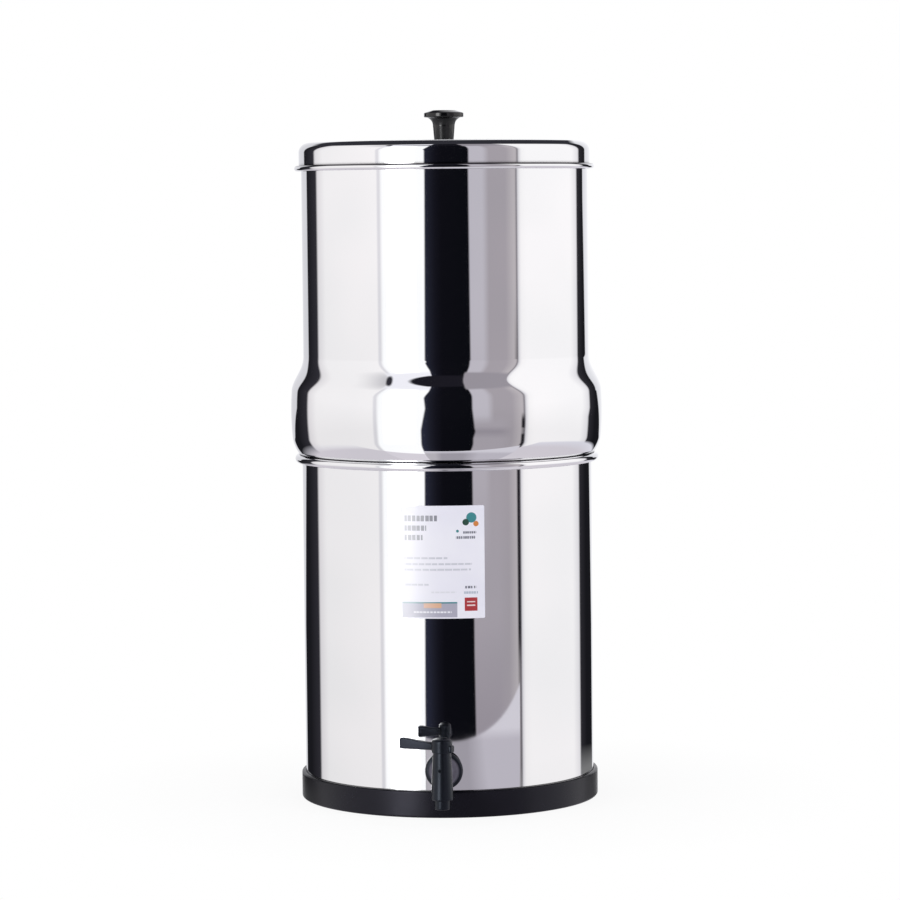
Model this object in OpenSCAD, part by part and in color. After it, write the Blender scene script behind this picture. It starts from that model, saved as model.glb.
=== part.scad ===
// Gravity water filter: two stacked steel chambers, four ceramic candles, a lid and a lever tap.
// Millimetres, +Z up. The origin is on the chambers' axis, on the surface the filter stands on.
// The tap faces -Y.

/* [Lower chamber] */
// Outside diameter of the lower chamber
lower_d = 209.2; // [196:0.2:224]
// Height of the lower chamber, from under its floor to the top of its rolled rim
lower_h = 245.2; // [236:0.2:270]
// Thickness of the steel sheet of both chambers
sheet_t = 0.8; // [0.6:0.1:1]
// Outside radius where the lower chamber's floor meets its wall
lower_corner_r = 6; // [4:0.5:8]
// Diameter of the lower chamber's rolled rim, measured across the roll
lower_roll_d = 5.9; // [5.4:0.1:7]

/* [Base ring] */
// Wall thickness of the base ring
base_wall = 2.9; // [2.4:0.1:6]
// Height of the base ring
base_h = 19; // [14:0.5:20]
// Thickness of the foot under the lower chamber
base_foot_t = 4; // [3:0.5:6]
// Width of the foot, inwards from the base ring's wall
base_foot_w = 12; // [10:0.5:20]
// Radius of the base ring's outer edges
base_edge_r = 1.5; // [0.8:0.1:1.8]

/* [Upper chamber] */
// Height of the upper chamber, from its seat to the top of its rim
upper_h = 221; // [214:0.5:250]
// Clearance between the upper chamber's spigot and the lower chamber, on the radius
spigot_gap = 0.7; // [0.4:0.1:1.2]
// Depth of the upper chamber's floor below its seat
spigot_depth = 19; // [14:0.5:26]
// Outside radius where the upper chamber's floor meets its spigot
floor_corner_r = 5; // [3:0.5:8]
// How far the bulge stands out from the upper chamber's wall
bulge_out = 9.3; // [8:0.1:11]
// Height of the bulge's widest point above the seat
belly_rise = 30.9; // [28:0.1:34]
// Radius of the bulge's side, seen in section
belly_r = 200; // [160:5:260]
// Radius of the bulge's lower round, seen in section
bulge_round_r = 26; // [22:0.5:28]
// Radius of the turn from the bulge into the seat
knee_r = 2; // [1.5:0.1:3]
// Height above the seat at which the shoulder begins
shoulder_rise = 45.9; // [42:0.1:52]
// Height of the shoulder, from the bulge to the straight wall
shoulder_h = 25; // [20:0.5:34]
// Diameter of the upper chamber's rolled rim, measured across the roll
upper_roll_d = 3.2; // [2.8:0.1:3.6]

/* [Lid] */
// Clearance between the lid's skirt and the upper chamber, on the radius
lid_gap = 1; // [0.7:0.05:1.6]
// Thickness of the lid's steel sheet
lid_t = 0.7; // [0.5:0.05:0.9]
// Outside radius of the lid's top corner
lid_corner_r = 7; // [5.5:0.5:10]
// Height of the lid, from its top corner to the middle of its rolled edge
lid_skirt_h = 18.2; // [17:0.2:26]
// Diameter of the lid's rolled edge, measured across the roll
lid_roll_d = 4; // [3.4:0.1:4.6]
// How much the lid's middle stands above its corner
lid_crown = 1.2; // [0.6:0.1:3]

/* [Lid knob] */
// Height of the lid knob
knob_h = 21.5; // [18:0.5:28]
// Diameter of the knob's flange
knob_flange_d = 28.6; // [26:0.2:34]
// Diameter of the knob's foot
knob_foot_d = 14.2; // [13:0.2:17]
// Height of the knob flange's edge
knob_edge_h = 3.4; // [2:0.2:4]
// Diameter of the knob's flat top
knob_top_d = 17; // [12:0.5:20]
// Drop of the bevel from the knob's flat top to the flange's edge
knob_bevel_h = 1.6; // [1:0.2:3]
// Height of the flare from the knob's stem to its flange
knob_flare_h = 6; // [3:0.2:7]
// Diameter of the lid screw
lid_screw_d = 4; // [3.6:0.2:5]
// Length of the lid screw under its head
lid_screw_l = 12; // [9:0.5:14]

/* [Candles] */
// Number of filter candles
candle_count = 4; // [2:1:4]
// Diameter of the circle that the candles stand on
candle_circle_d = 104; // [96:1:116]
// Diameter of a candle's ceramic shell
candle_d = 50; // [44:0.5:54]
// Length of a candle's ceramic shell
candle_l = 178; // [150:1:190]
// Wall thickness of the ceramic shell
candle_wall = 6; // [4:0.5:8]
// Thickness of the candle mount's base plate
mount_plate_t = 5; // [4:0.5:7]
// Height of the mount's collar around the shell
mount_collar_h = 12; // [8:0.5:18]
// Wall thickness of the mount's collar
mount_collar_t = 1.8; // [1.2:0.1:3]
// Diameter of the mount's threaded stem
stem_d = 10; // [9:0.5:12]
// Length of the stem below the upper chamber's floor
stem_l = 24; // [20:0.5:30]
// Diameter of the water way through the stem
stem_bore_d = 5; // [3:0.5:6]
// Thickness of a candle's rubber washer
candle_washer_t = 3; // [2:0.5:4]
// Diameter of a candle's rubber washer
candle_washer_d = 28; // [24:0.5:34]
// Height of the wing nut
wing_nut_h = 9; // [7:0.5:12]
// Distance across the wing nut's wings
wing_span = 36; // [32:0.5:44]

/* [Tap body] */
// Height of the tap's shank above the top of the base ring
tap_rise = 14.8; // [14.5:0.1:30]
// Distance from the lower chamber's wall to the barrel's axis
tap_reach = 37.4; // [30:0.2:50]
// Diameter of the tap's flange
tap_flange_d = 26.6; // [23:0.2:28]
// Thickness of the tap's flange
tap_flange_t = 4; // [3:0.5:6]
// Diameter of the threaded shank
shank_d = 16; // [14.6:0.2:17]
// Diameter of the neck between flange and barrel
tap_neck_d = 11; // [9:0.5:12]
// Diameter of the barrel at its top
barrel_top_d = 12.7; // [12.4:0.1:13.6]
// Diameter of the barrel at its lower end
barrel_foot_d = 15.6; // [13:0.2:17]
// Height of the barrel's top above the shank's axis
barrel_up = 21.6; // [20:0.1:26]
// Depth of the barrel's lower end below the shank's axis
barrel_down = 14.7; // [13:0.1:16]
// Length of the nozzle below the barrel
nozzle_l = 6.8; // [4:0.2:7.5]
// Diameter of the nozzle
nozzle_d = 10.6; // [9.6:0.2:12]
// Diameter of the water way through the tap
tap_bore_d = 6; // [4:0.2:6.6]
// Thickness of the tap's rubber washers
tap_washer_t = 3; // [2:0.2:4]
// Diameter of the tap's rubber washers
tap_washer_d = 22; // [20:0.5:23]
// Thickness of the nut on the tap's shank
tap_nut_t = 7; // [5:0.5:9]
// Distance across the tap nut's flats
tap_nut_af = 24; // [21:0.5:26]

/* [Tap valve and lever] */
// Diameter of the valve plug's bore in the barrel
plug_bore_d = 10; // [9.6:0.1:10.2]
// Travel of the lever from shut to open, in degrees
lever_travel = 115; // [90:5:120]
// Direction of the shut lever, in degrees from +X
lever_angle = 155; // [140:5:180]
// Distance from the barrel's axis to the lever's tip
lever_reach = 32; // [28:0.5:45]
// Width of the lever's bar
lever_w = 5.2; // [4:0.2:7]
// Height of the lever's bar at its tip
lever_tip_h = 8; // [5.6:0.2:9]
// Height of the lever's bar at its hub
lever_root_h = 5.2; // [3.6:0.2:6]
// Diameter of the lever's hub
hub_d = 14.4; // [14.2:0.1:17]
// Height of the lever's hub
hub_h = 10.4; // [9.6:0.1:13]
// How far the lever's tail stands out behind the hub
lever_tail = 1.2; // [0.6:0.1:3]

/* [Label] */
// Width of the label, around the chamber
label_w = 59.6; // [40:0.5:90]
// Height of the label
label_h = 79; // [50:0.5:90]
// Distance from the label's top edge to the top of the lower chamber
label_drop = 30; // [20:0.5:60]
// Thickness of the label
label_t = 0.25; // [0.1:0.05:0.4]

/* [Hidden] */
candles = [for (i = [1:candle_count]) str("candle_", i)];
candle_kinds = ["_shell", "_core", "_mount", "_washer", "_wing_nut"];

$fn = 96;
wall_fn = 720;              // steps of a chamber-sized cylinder that shapes a small piece
eps = 0.01;                 // overlap that joins solids and runs cuts past a face
fit = 0.05;                 // radial clearance of a running or threaded fit
ease = 0.3;                 // gap between curved faces that rest on each other
glue = 0.02;                // film between a stuck-on piece and its wall

// Lower chamber and base ring
lower_r = lower_d / 2;
lower_mid_r = lower_r - sheet_t / 2;
lower_in_r = lower_r - sheet_t;
floor_z = base_foot_t;
seat_z = floor_z + lower_h;
lower_roll_r = (lower_roll_d - sheet_t) / 2;
base_gap = 0.1;
base_in_r = lower_r + base_gap;
base_r = base_in_r + base_wall;

// Upper chamber
upper_r = lower_in_r - spigot_gap;
upper_mid_r = upper_r - sheet_t / 2;
upper_floor_z = seat_z - spigot_depth;
upper_floor_top = upper_floor_z + sheet_t;
belly_z = seat_z + belly_rise;
belly_mid_r = upper_mid_r + bulge_out;
belly_low_a = 5;            // angle of the belly's arc below its widest point
ledge_turn_r = 1.2;         // middle radius of the turn from spigot to seat
ledge_mid_z = seat_z + sheet_t / 2;
round_mid_r = bulge_round_r - sheet_t / 2;
knee_mid_r = knee_r - sheet_t / 2;
round_c = [belly_mid_r - belly_r + (belly_r - round_mid_r) * cos(belly_low_a),
           belly_z - (belly_r - round_mid_r) * sin(belly_low_a)];
knee_a = asin((round_c.y - ledge_mid_z - knee_mid_r) / (round_mid_r - knee_mid_r));
knee_c = round_c + (round_mid_r - knee_mid_r) * [cos(knee_a), -sin(knee_a)];
side_low_z = belly_z - belly_r * sin(belly_low_a);
shoulder_z = seat_z + shoulder_rise;
rim_r = upper_roll_d / 2;
rim_roll_r = (upper_roll_d - sheet_t) / 2;
rim_z = seat_z + upper_h - rim_r;

// Lid: its inner corner rests on the upper chamber's rim
lid_r = upper_r + lid_gap + lid_t;
lid_mid_r = lid_r - lid_t / 2;
lid_roll_r = (lid_roll_d - lid_t) / 2;
rim_to_corner = lid_corner_r - lid_t - rim_r;
lid_corner_z = rim_z - sqrt(pow(rim_to_corner - ease, 2) - pow(rim_to_corner - lid_gap, 2));
lid_edge_z = lid_corner_z + lid_corner_r;
lid_top_z = lid_edge_z + lid_crown;
lid_roll_z = lid_edge_z - lid_skirt_h;
knob_land = 2;              // flat rim of the lid around the knob's foot
lid_flat_r = knob_foot_d / 2 + knob_land;
screw_gap = 0.3;            // clearance of the screw in the lid's hole
lid_washer_t = 1;
lid_washer_inset = 3;
lid_washer_r = lid_flat_r - lid_washer_inset;
screw_head_r = 0.9 * lid_screw_d;
screw_head_h = 0.65 * lid_screw_d;

// Candles
candle_r = candle_d / 2;
mount_r = candle_r + fit + mount_collar_t;
mount_z = upper_floor_top + candle_washer_t;
shell_z = mount_z + mount_plate_t;
stem_r = stem_d / 2;
stem_end_z = upper_floor_z - stem_l;
stem_gap = 0.3;
candle_first_a = 45;
core_gap = 1;

// Tap
tap_z = base_h + tap_rise;
barrel_y = lower_r + tap_reach;
barrel_top_z = tap_z + barrel_up;
barrel_foot_z = tap_z - barrel_down;
nozzle_z = barrel_foot_z - nozzle_l;
flange_y = lower_r + tap_washer_t;
shank_gap = 0.3;
shank_proud = 5;            // how far the shank stands past its nut
shank_end_y = lower_in_r - tap_washer_t - tap_nut_t - shank_proud;
tap_edge = 0.6;             // bevel of the tap body's edges
plug_bore_r = plug_bore_d / 2;
plug_r = plug_bore_r - fit;
plug_floor_t = 3;           // floor of the barrel under the valve plug
plug_floor_z = barrel_foot_z + plug_floor_t;
plug_way_r = plug_bore_r / 2;
o_ring_r = 0.6;             // half the o-rings' thickness
o_ring_mid_r = plug_bore_r - 2 * fit - o_ring_r;
groove_r = o_ring_mid_r - o_ring_r - glue;
groove_h = 2 * (o_ring_r + fit);
o_ring_low_z = (plug_floor_z + tap_z - tap_bore_d / 2) / 2;
o_ring_high_z = (tap_z + tap_bore_d / 2 + barrel_top_z) / 2;
hub_r = hub_d / 2;
hub_skirt = 3.5;            // how far the hub reaches down over the barrel's top
hub_z = barrel_top_z - hub_skirt;
hub_in_r = barrel_top_d / 2 + 2 * fit;
hub_top_z = hub_z + hub_h;
socket_w = 5.6;             // square drive between plug and lever
socket_h = 3.5;
stop_a = 14;                // angle that the lever's stop lug takes
stop_wall = 0.7;            // wall left between the valve plug and the lug's track
stop_in_r = plug_bore_r + stop_wall;
stop_h = 2.4;
gate_r = 1.2;               // moulding gate mark on the barrel
gate_depth = 0.6;
gate_rise = 6.1;
gate_x = -1.3;

// Colours
steel = [0.78, 0.79, 0.80];
charcoal = [0.13, 0.13, 0.15];
slate = [0.17, 0.18, 0.20];
gloss_black = [0.05, 0.05, 0.06];
rubber = [0.08, 0.08, 0.08];
ceramic = [0.93, 0.90, 0.83];
carbon = [0.10, 0.10, 0.10];
ivory = [0.90, 0.90, 0.87];
paper = [0.96, 0.96, 0.96];

// Points of an arc, from the given first one of its steps to the last
function arc(centre, r, from, to, steps, first = 0) =
    [for (i = [first:steps])
        let (a = from + (to - from) * i / steps) centre + r * [cos(a), sin(a)]];

// Point i of a path, moved sideways by d
function beside(path, i, d) =
    let (last = len(path) - 1,
         along = path[min(i + 1, last)] - path[max(i - 1, 0)])
    path[i] + d * [-along.y, along.x] / norm(along);

// Section of sheet metal of thickness t whose middle follows a path of [radius, height] points
module sheet(path, t)
    let (last = len(path) - 1)
    polygon(concat([for (i = [0:last]) beside(path, i, t / 2)],
                   [for (i = [last:-1:0]) beside(path, i, -t / 2)]));

// Cylinder along -Y, from distance y0 to y1 in front of the axis
module bar_y(r, y0, y1)
    translate([0, -y0, 0]) rotate([90, 0, 0]) cylinder(r = r, h = y1 - y0);

// Round ring of rectangular section
module ring(r_in, r_out, h)
    difference() {
        cylinder(r = r_out, h = h);
        translate([0, 0, -eps]) cylinder(r = r_in, h = h + 2 * eps);
    }

// Places its children at the tap barrel's axis
module at_barrel() translate([0, -barrel_y, 0]) children();

// Places its children on candle i's axis
module at_candle(i)
    rotate(candle_first_a + i * 360 / candle_count) translate([candle_circle_d / 2, 0, 0]) children();

// Moulded ring that grips the lower chamber's bottom and stands on the table
module base_ring()
    color(charcoal)
    rotate_extrude()
    polygon(concat(
        [[base_in_r - base_foot_w, 0]],
        arc([base_r - base_edge_r, base_edge_r], base_edge_r, -90, 0, 6),
        arc([base_r - base_edge_r, base_h - base_edge_r], base_edge_r, 0, 90, 6),
        [[base_in_r, base_h], [base_in_r, base_foot_t], [base_in_r - base_foot_w, base_foot_t]]));

// Lower chamber: floor, wall and a rim rolled outwards
function lower_path() = concat(
    [[0, floor_z + sheet_t / 2]],
    arc([lower_r - lower_corner_r, floor_z + lower_corner_r], lower_corner_r - sheet_t / 2, -90, 0, 8),
    arc([lower_mid_r + lower_roll_r, seat_z - lower_roll_d / 2], lower_roll_r, 180, -115, 22));

module lower_chamber()
    color(steel)
    difference() {
        rotate_extrude() sheet(lower_path(), sheet_t);
        translate([0, 0, tap_z]) bar_y(shank_d / 2 + shank_gap, lower_in_r - shank_d / 2, lower_r + sheet_t);
    }

// Middle radius of the bulge's side and shoulder at height z
function belly_at(z) = belly_mid_r - pow(z - belly_z, 2) / (2 * belly_r);
function shoulder_share(z) = let (s = max(0, min(1, (z - shoulder_z) / shoulder_h))) (1 + cos(180 * s)) / 2;
function side_at(z) = upper_mid_r + (belly_at(z) - upper_mid_r) * shoulder_share(z);

// Upper chamber: floor, spigot, seat, bulge, shoulder, wall and a rim rolled inwards
side_steps = 26;
function upper_path() = concat(
    [[0, upper_floor_z + sheet_t / 2]],
    arc([upper_r - floor_corner_r, upper_floor_z + floor_corner_r], floor_corner_r - sheet_t / 2, -90, 0, 8),
    arc([upper_mid_r + ledge_turn_r, ledge_mid_z - ledge_turn_r], ledge_turn_r, 180, 90, 6),
    arc(knee_c, knee_mid_r, -90, -knee_a, 5),
    arc(round_c, round_mid_r, -knee_a, -belly_low_a, 8, 1),
    [for (i = [1:side_steps])
        let (z = side_low_z + (shoulder_z + shoulder_h - side_low_z) * i / side_steps) [side_at(z), z]],
    arc([upper_mid_r - rim_roll_r, rim_z], rim_roll_r, 0, 240, 14));

module upper_chamber()
    color(steel)
    difference() {
        rotate_extrude() sheet(upper_path(), sheet_t);
        for (i = [0:candle_count - 1])
            at_candle(i) translate([0, 0, upper_floor_z - eps])
                cylinder(r = stem_r + stem_gap, h = sheet_t + 2 * eps);
    }

// Lid: flat middle, low crown, corner, skirt and an edge rolled outwards
crown_steps = 8;
lid_flat_edge = lid_r - lid_corner_r;
function crown_at(r) = lid_crown * (1 - pow((r - lid_flat_r) / (lid_flat_edge - lid_flat_r), 2));
function lid_path() = concat(
    [[0, lid_top_z - lid_t / 2]],
    [for (i = [0:crown_steps - 1])
        let (r = lid_flat_r + (lid_flat_edge - lid_flat_r) * i / crown_steps)
        [r, lid_edge_z + crown_at(r) - lid_t / 2]],
    arc([lid_flat_edge, lid_corner_z], lid_corner_r - lid_t / 2, 90, 0, 10),
    arc([lid_mid_r + lid_roll_r, lid_roll_z], lid_roll_r, 180, 475, 20));

module lid()
    color(steel)
    difference() {
        rotate_extrude() sheet(lid_path(), lid_t);
        translate([0, 0, lid_top_z - 2 * lid_t]) cylinder(r = lid_screw_d / 2 + screw_gap, h = 3 * lid_t);
    }

// Moulded knob: foot, a stem that widens upwards, a flare and a flange with a bevelled top
module lid_knob()
    let (r = knob_flange_d / 2, foot_r = knob_foot_d / 2, foot_soft = 0.5,
         edge_top = knob_h - knob_bevel_h, edge_low = edge_top - knob_edge_h,
         neck_r = foot_r + 0.8, soft = 0.8,
         bevel_a = atan((r - soft - knob_top_d / 2) / knob_bevel_h))
    color(gloss_black)
    translate([0, 0, lid_top_z])
    difference() {
        rotate_extrude()
        polygon(concat(
            [[0, 0], [foot_r - foot_soft, 0], [foot_r, foot_soft]],
            [[neck_r, edge_low - knob_flare_h]],
            [for (i = [1:6])
                let (a = 90 * i / 6)
                [neck_r + (r - soft - neck_r) * (1 - cos(a)), edge_low - knob_flare_h * (1 - sin(a))]],
            arc([r - soft, edge_low + soft], soft, -90, 0, 3),
            arc([r - soft, edge_top - soft], soft, 0, bevel_a, 3),
            [[knob_top_d / 2, knob_h], [0, knob_h]]));
        translate([0, 0, -eps]) cylinder(r = lid_screw_d / 2 + fit, h = lid_screw_l);
    }

// Washer between the lid's underside and the screw head
module lid_washer()
    color(steel)
    translate([0, 0, lid_top_z - lid_t - lid_washer_t])
    ring(lid_screw_d / 2 + screw_gap, lid_washer_r, lid_washer_t);

// Pan-head screw that holds the knob from inside the lid
module lid_screw()
    color(steel)
    translate([0, 0, lid_top_z - lid_t - lid_washer_t]) {
        translate([0, 0, -eps]) cylinder(r = lid_screw_d / 2, h = lid_screw_l + eps);
        translate([0, 0, -screw_head_h])
            difference() {
                cylinder(r = screw_head_r, h = screw_head_h);
                for (a = [0, 90])
                    rotate(a) translate([-screw_head_r / 2, -screw_head_r / 8, -eps])
                        cube([screw_head_r, screw_head_r / 4, screw_head_h / 2]);
            }
    }

// Paper label that follows the lower chamber's wall
module label()
    let (a = label_w / lower_r * 180 / PI, r = lower_r + glue)
    color(paper)
    rotate(-90 - a / 2)
    rotate_extrude(angle = a)
        translate([r, seat_z - label_drop - label_h]) square([label_t, label_h]);

// Tap body: flange, threaded shank, neck, barrel and nozzle in one moulding
flange_bevel = 2.4;
module tap_body()
    color(slate)
    difference() {
        union() {
            translate([0, 0, tap_z]) {
                bar_y(shank_d / 2, shank_end_y, flange_y + eps);
                bar_y(tap_flange_d / 2, flange_y, flange_y + tap_flange_t - flange_bevel);
                translate([0, -flange_y - tap_flange_t + flange_bevel, 0]) rotate([90, 0, 0])
                    cylinder(r1 = tap_flange_d / 2, r2 = tap_flange_d / 2 - flange_bevel, h = flange_bevel);
                bar_y(tap_neck_d / 2, flange_y + tap_flange_t - eps, barrel_y);
            }
            at_barrel() rotate_extrude()
                polygon([[0, nozzle_z], [nozzle_d / 2 - tap_edge, nozzle_z],
                         [nozzle_d / 2, nozzle_z + tap_edge], [nozzle_d / 2, barrel_foot_z],
                         [barrel_foot_d / 2 - tap_edge, barrel_foot_z],
                         [barrel_foot_d / 2, barrel_foot_z + tap_edge],
                         [barrel_top_d / 2, hub_z - tap_edge], [barrel_top_d / 2, barrel_top_z],
                         [0, barrel_top_z]]);
        }
        translate([0, 0, tap_z]) bar_y(tap_bore_d / 2, shank_end_y - eps, barrel_y - plug_bore_r / 2);
        at_barrel() {
            translate([0, 0, plug_floor_z]) cylinder(r = plug_bore_r, h = barrel_top_z);
            translate([0, 0, nozzle_z - eps]) cylinder(r = plug_way_r + 1, h = nozzle_l + barrel_down);
            rotate(lever_angle - stop_a) rotate_extrude(angle = lever_travel + 2 * stop_a)
                translate([stop_in_r, barrel_top_z - stop_h]) square([barrel_top_d, stop_h + eps]);
            translate([gate_x, 0, tap_z + gate_rise])
                bar_y(gate_r, barrel_top_d / 2 - gate_depth, barrel_foot_d);
        }
    }

// Rubber washer outside the wall, hollowed to sit on the round chamber
module tap_outer_washer()
    color(rubber)
    difference() {
        translate([0, 0, tap_z])
            difference() {
                bar_y(tap_washer_d / 2, lower_r - tap_washer_t, flange_y);
                bar_y(shank_d / 2 + fit, lower_r - 2 * tap_washer_t, flange_y + eps);
            }
        cylinder(r = lower_r + fit, h = tap_z + tap_washer_d, $fn = wall_fn);
    }

// Rubber washer inside the wall, rounded to sit in the chamber
module tap_inner_washer()
    color(rubber)
    intersection() {
        translate([0, 0, tap_z])
            difference() {
                bar_y(tap_washer_d / 2, lower_in_r - tap_washer_t, lower_r);
                bar_y(shank_d / 2 + fit, lower_in_r - 2 * tap_washer_t, lower_r + eps);
            }
        cylinder(r = lower_in_r - fit, h = tap_z + tap_washer_d, $fn = wall_fn);
    }

// Hexagon nut that clamps the tap from inside the chamber
module tap_nut()
    color(ivory)
    translate([0, 0, tap_z])
    difference() {
        translate([0, -(lower_in_r - tap_washer_t - tap_nut_t), 0]) rotate([90, 0, 0])
            cylinder(r = tap_nut_af / 2 / cos(30), h = tap_nut_t, $fn = 6);
        bar_y(shank_d / 2 + fit, lower_in_r - tap_washer_t - 2 * tap_nut_t, lower_in_r);
    }

// Valve plug: turns in the barrel; its side port meets the shank's water way when the lever is open
module tap_plug()
    color(ivory)
    at_barrel()
    difference() {
        union() {
            translate([0, 0, plug_floor_z + fit])
                cylinder(r = plug_r, h = barrel_top_z - plug_floor_z - fit);
            rotate(lever_angle) translate([-socket_w / 2, -socket_w / 2, barrel_top_z - eps])
                cube([socket_w, socket_w, socket_h]);
        }
        translate([0, 0, plug_floor_z]) cylinder(r = plug_way_r, h = tap_z - plug_floor_z);
        rotate(90 - lever_travel) translate([0, 0, tap_z]) rotate([0, 90, 0])
            cylinder(r = tap_bore_d / 2, h = plug_bore_d);
        for (z = [o_ring_low_z, o_ring_high_z])
            translate([0, 0, z - groove_h / 2]) ring(groove_r, plug_bore_d, groove_h);
    }

module tap_o_ring(z)
    color(rubber)
    at_barrel() translate([0, 0, z]) rotate_extrude()
        translate([o_ring_mid_r, 0]) circle(r = o_ring_r, $fn = 32);

// Lever: domed hub over the barrel's top, a bar that swells to its tip, a short tail and a stop lug
module tap_lever()
    let (bar_z = hub_z + 0.8, root_z = bar_z + 0.5, dome_h = 3, roof_z = barrel_top_z + ease)
    color(slate)
    at_barrel() rotate(lever_angle)
    difference() {
        union() {
            rotate_extrude()
                polygon(concat([[0, hub_z], [hub_r, hub_z]],
                               [for (i = [0:6])
                                   let (a = 90 * i / 6)
                                   [hub_r * cos(a), hub_top_z - dome_h * (1 - sin(a))]]));
            translate([0, lever_w / 2, 0]) rotate([90, 0, 0]) linear_extrude(lever_w)
                polygon([[0, root_z], [hub_r, root_z],
                         [lever_reach, bar_z], [lever_reach, bar_z + lever_tip_h],
                         [hub_r, root_z + lever_root_h], [0, root_z + lever_root_h]]);
            translate([-hub_r - lever_tail, -lever_w / 2, hub_z]) cube([hub_r, lever_w, lever_w]);
        }
        difference() {
            translate([0, 0, hub_z - eps]) cylinder(r = hub_in_r, h = roof_z - hub_z + eps);
            rotate(-stop_a / 2) rotate_extrude(angle = stop_a)
                translate([stop_in_r + 2 * fit, barrel_top_z - stop_h + ease])
                square([hub_r - stop_in_r, hub_h]);
        }
        translate([-socket_w / 2 - glue, -socket_w / 2 - glue, roof_z - eps])
            cube([socket_w + 2 * glue, socket_w + 2 * glue, socket_h]);
    }

// Ceramic shell of a candle: open below, closed by a dome
dome_steps = 8;
module candle_shell()
    let (dome = 12, top = shell_z + candle_l, in_r = candle_r - candle_wall)
    color(ceramic)
    rotate_extrude()
    polygon(concat(
        [[in_r, shell_z], [candle_r, shell_z]],
        [for (i = [0:dome_steps])
            let (a = 90 * i / dome_steps) [candle_r * cos(a), top - dome * (1 - sin(a))]],
        [for (i = [dome_steps:-1:0])
            let (a = 90 * i / dome_steps) [in_r * cos(a), top - candle_wall - dome * (1 - sin(a))]]));

// Carbon block inside a candle
module candle_core()
    color(carbon)
    translate([0, 0, shell_z])
    ring(stem_bore_d / 2, candle_r - candle_wall - core_gap,
         candle_l - 2 * candle_wall - mount_collar_h);

// Moulded mount that the shell is bonded into, with a hollow threaded stem
module candle_mount()
    color(ivory)
    difference() {
        union() {
            translate([0, 0, mount_z]) cylinder(r = mount_r, h = mount_plate_t + mount_collar_h);
            translate([0, 0, stem_end_z]) cylinder(r = stem_r, h = mount_z - stem_end_z + eps);
        }
        translate([0, 0, shell_z]) cylinder(r = candle_r + fit, h = mount_collar_h + eps);
        translate([0, 0, stem_end_z - eps])
            cylinder(r = stem_bore_d / 2, h = shell_z - stem_end_z + 2 * eps);
    }

// Rubber washer between a candle mount and the upper chamber's floor
module candle_washer()
    color(rubber)
    translate([0, 0, upper_floor_top]) ring(stem_r + fit, candle_washer_d / 2, candle_washer_t);

// Wing nut under the upper chamber's floor
module wing_nut()
    let (hub = stem_r + 3.5, wing_t = 3.2, flange = 2, low_z = upper_floor_z - wing_nut_h)
    color(ivory)
    difference() {
        union() {
            translate([0, 0, low_z]) cylinder(r = hub, h = wing_nut_h);
            translate([0, 0, upper_floor_z - flange]) cylinder(r = hub + flange, h = flange);
            translate([-wing_span / 2, -wing_t / 2, low_z])
                cube([wing_span, wing_t, wing_nut_h - flange / 2]);
        }
        translate([0, 0, low_z - eps]) cylinder(r = stem_r + fit, h = wing_nut_h + 2 * eps);
    }

module candle_piece(kind) {
    if (kind == "_shell") candle_shell();
    if (kind == "_core") candle_core();
    if (kind == "_mount") candle_mount();
    if (kind == "_washer") candle_washer();
    if (kind == "_wing_nut") wing_nut();
}

base_ring();
lower_chamber();
label();
tap_body();
tap_outer_washer();
tap_inner_washer();
tap_nut();
tap_plug();
tap_o_ring(o_ring_low_z);  // tap_o_ring_lower
tap_o_ring(o_ring_high_z);  // tap_o_ring_upper
tap_lever();
upper_chamber();
lid();
lid_knob();
lid_screw();
lid_washer();
for (i = [0:candle_count - 1], kind = candle_kinds)
    at_candle(i) candle_piece(kind);
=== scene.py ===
import math

import bmesh
import bpy
from mathutils import Matrix, Vector


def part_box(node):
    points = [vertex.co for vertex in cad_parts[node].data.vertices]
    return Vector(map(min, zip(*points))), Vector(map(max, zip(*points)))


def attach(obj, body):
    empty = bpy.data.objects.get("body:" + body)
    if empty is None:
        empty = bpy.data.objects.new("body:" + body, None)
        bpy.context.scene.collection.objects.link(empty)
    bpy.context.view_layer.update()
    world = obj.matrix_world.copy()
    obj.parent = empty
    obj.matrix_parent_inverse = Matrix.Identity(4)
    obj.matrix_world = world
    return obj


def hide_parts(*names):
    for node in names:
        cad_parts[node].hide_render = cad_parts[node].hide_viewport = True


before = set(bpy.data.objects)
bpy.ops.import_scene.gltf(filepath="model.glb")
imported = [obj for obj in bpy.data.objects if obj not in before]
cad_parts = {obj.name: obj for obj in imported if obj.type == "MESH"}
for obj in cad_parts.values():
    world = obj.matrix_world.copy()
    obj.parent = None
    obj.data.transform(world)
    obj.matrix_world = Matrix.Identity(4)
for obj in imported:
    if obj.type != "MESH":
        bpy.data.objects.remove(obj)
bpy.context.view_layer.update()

# ---------------------------------------------------------------------------------- base ring
# A black ring moulded in one piece with the foot that the lower chamber stands on. It is pressed
# over the chamber's bottom, so that no steel touches the worktop.

mm = 0.001
nudge = 0.3 * mm            # distance of a support ring from the end of a straight run


def arc(centre, radius, start, end, steps, first=0, tall=1):
    """(radius, height) points on an arc, from the given one of its steps to the last; degrees.
    The arc is as many times as high as wide as tall says."""
    turns = [math.radians(start + (end - start) * i / steps) for i in range(first, steps + 1)]
    return [(centre[0] + radius * math.cos(a), centre[1] + radius * tall * math.sin(a))
            for a in turns]


def rounded(x, z, soft, start, steps, first=0):
    """A quarter circle in place of an outline's outer corner, from the degrees it starts at."""
    side = 1 if start in (-90, 0) else -1
    up = 1 if start in (0, 90) else -1
    return arc((x - side * soft, z - up * soft), soft, start, start + 90, steps, first)


def run(start, end, inset=nudge):
    """The two support points of a straight run, so that smooth shading leaves it straight."""
    length = math.dist(start, end)
    share = min(inset / length, 0.4)
    return [tuple(a + (b - a) * s for a, b in zip(start, end)) for s in (share, 1 - share)]


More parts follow.
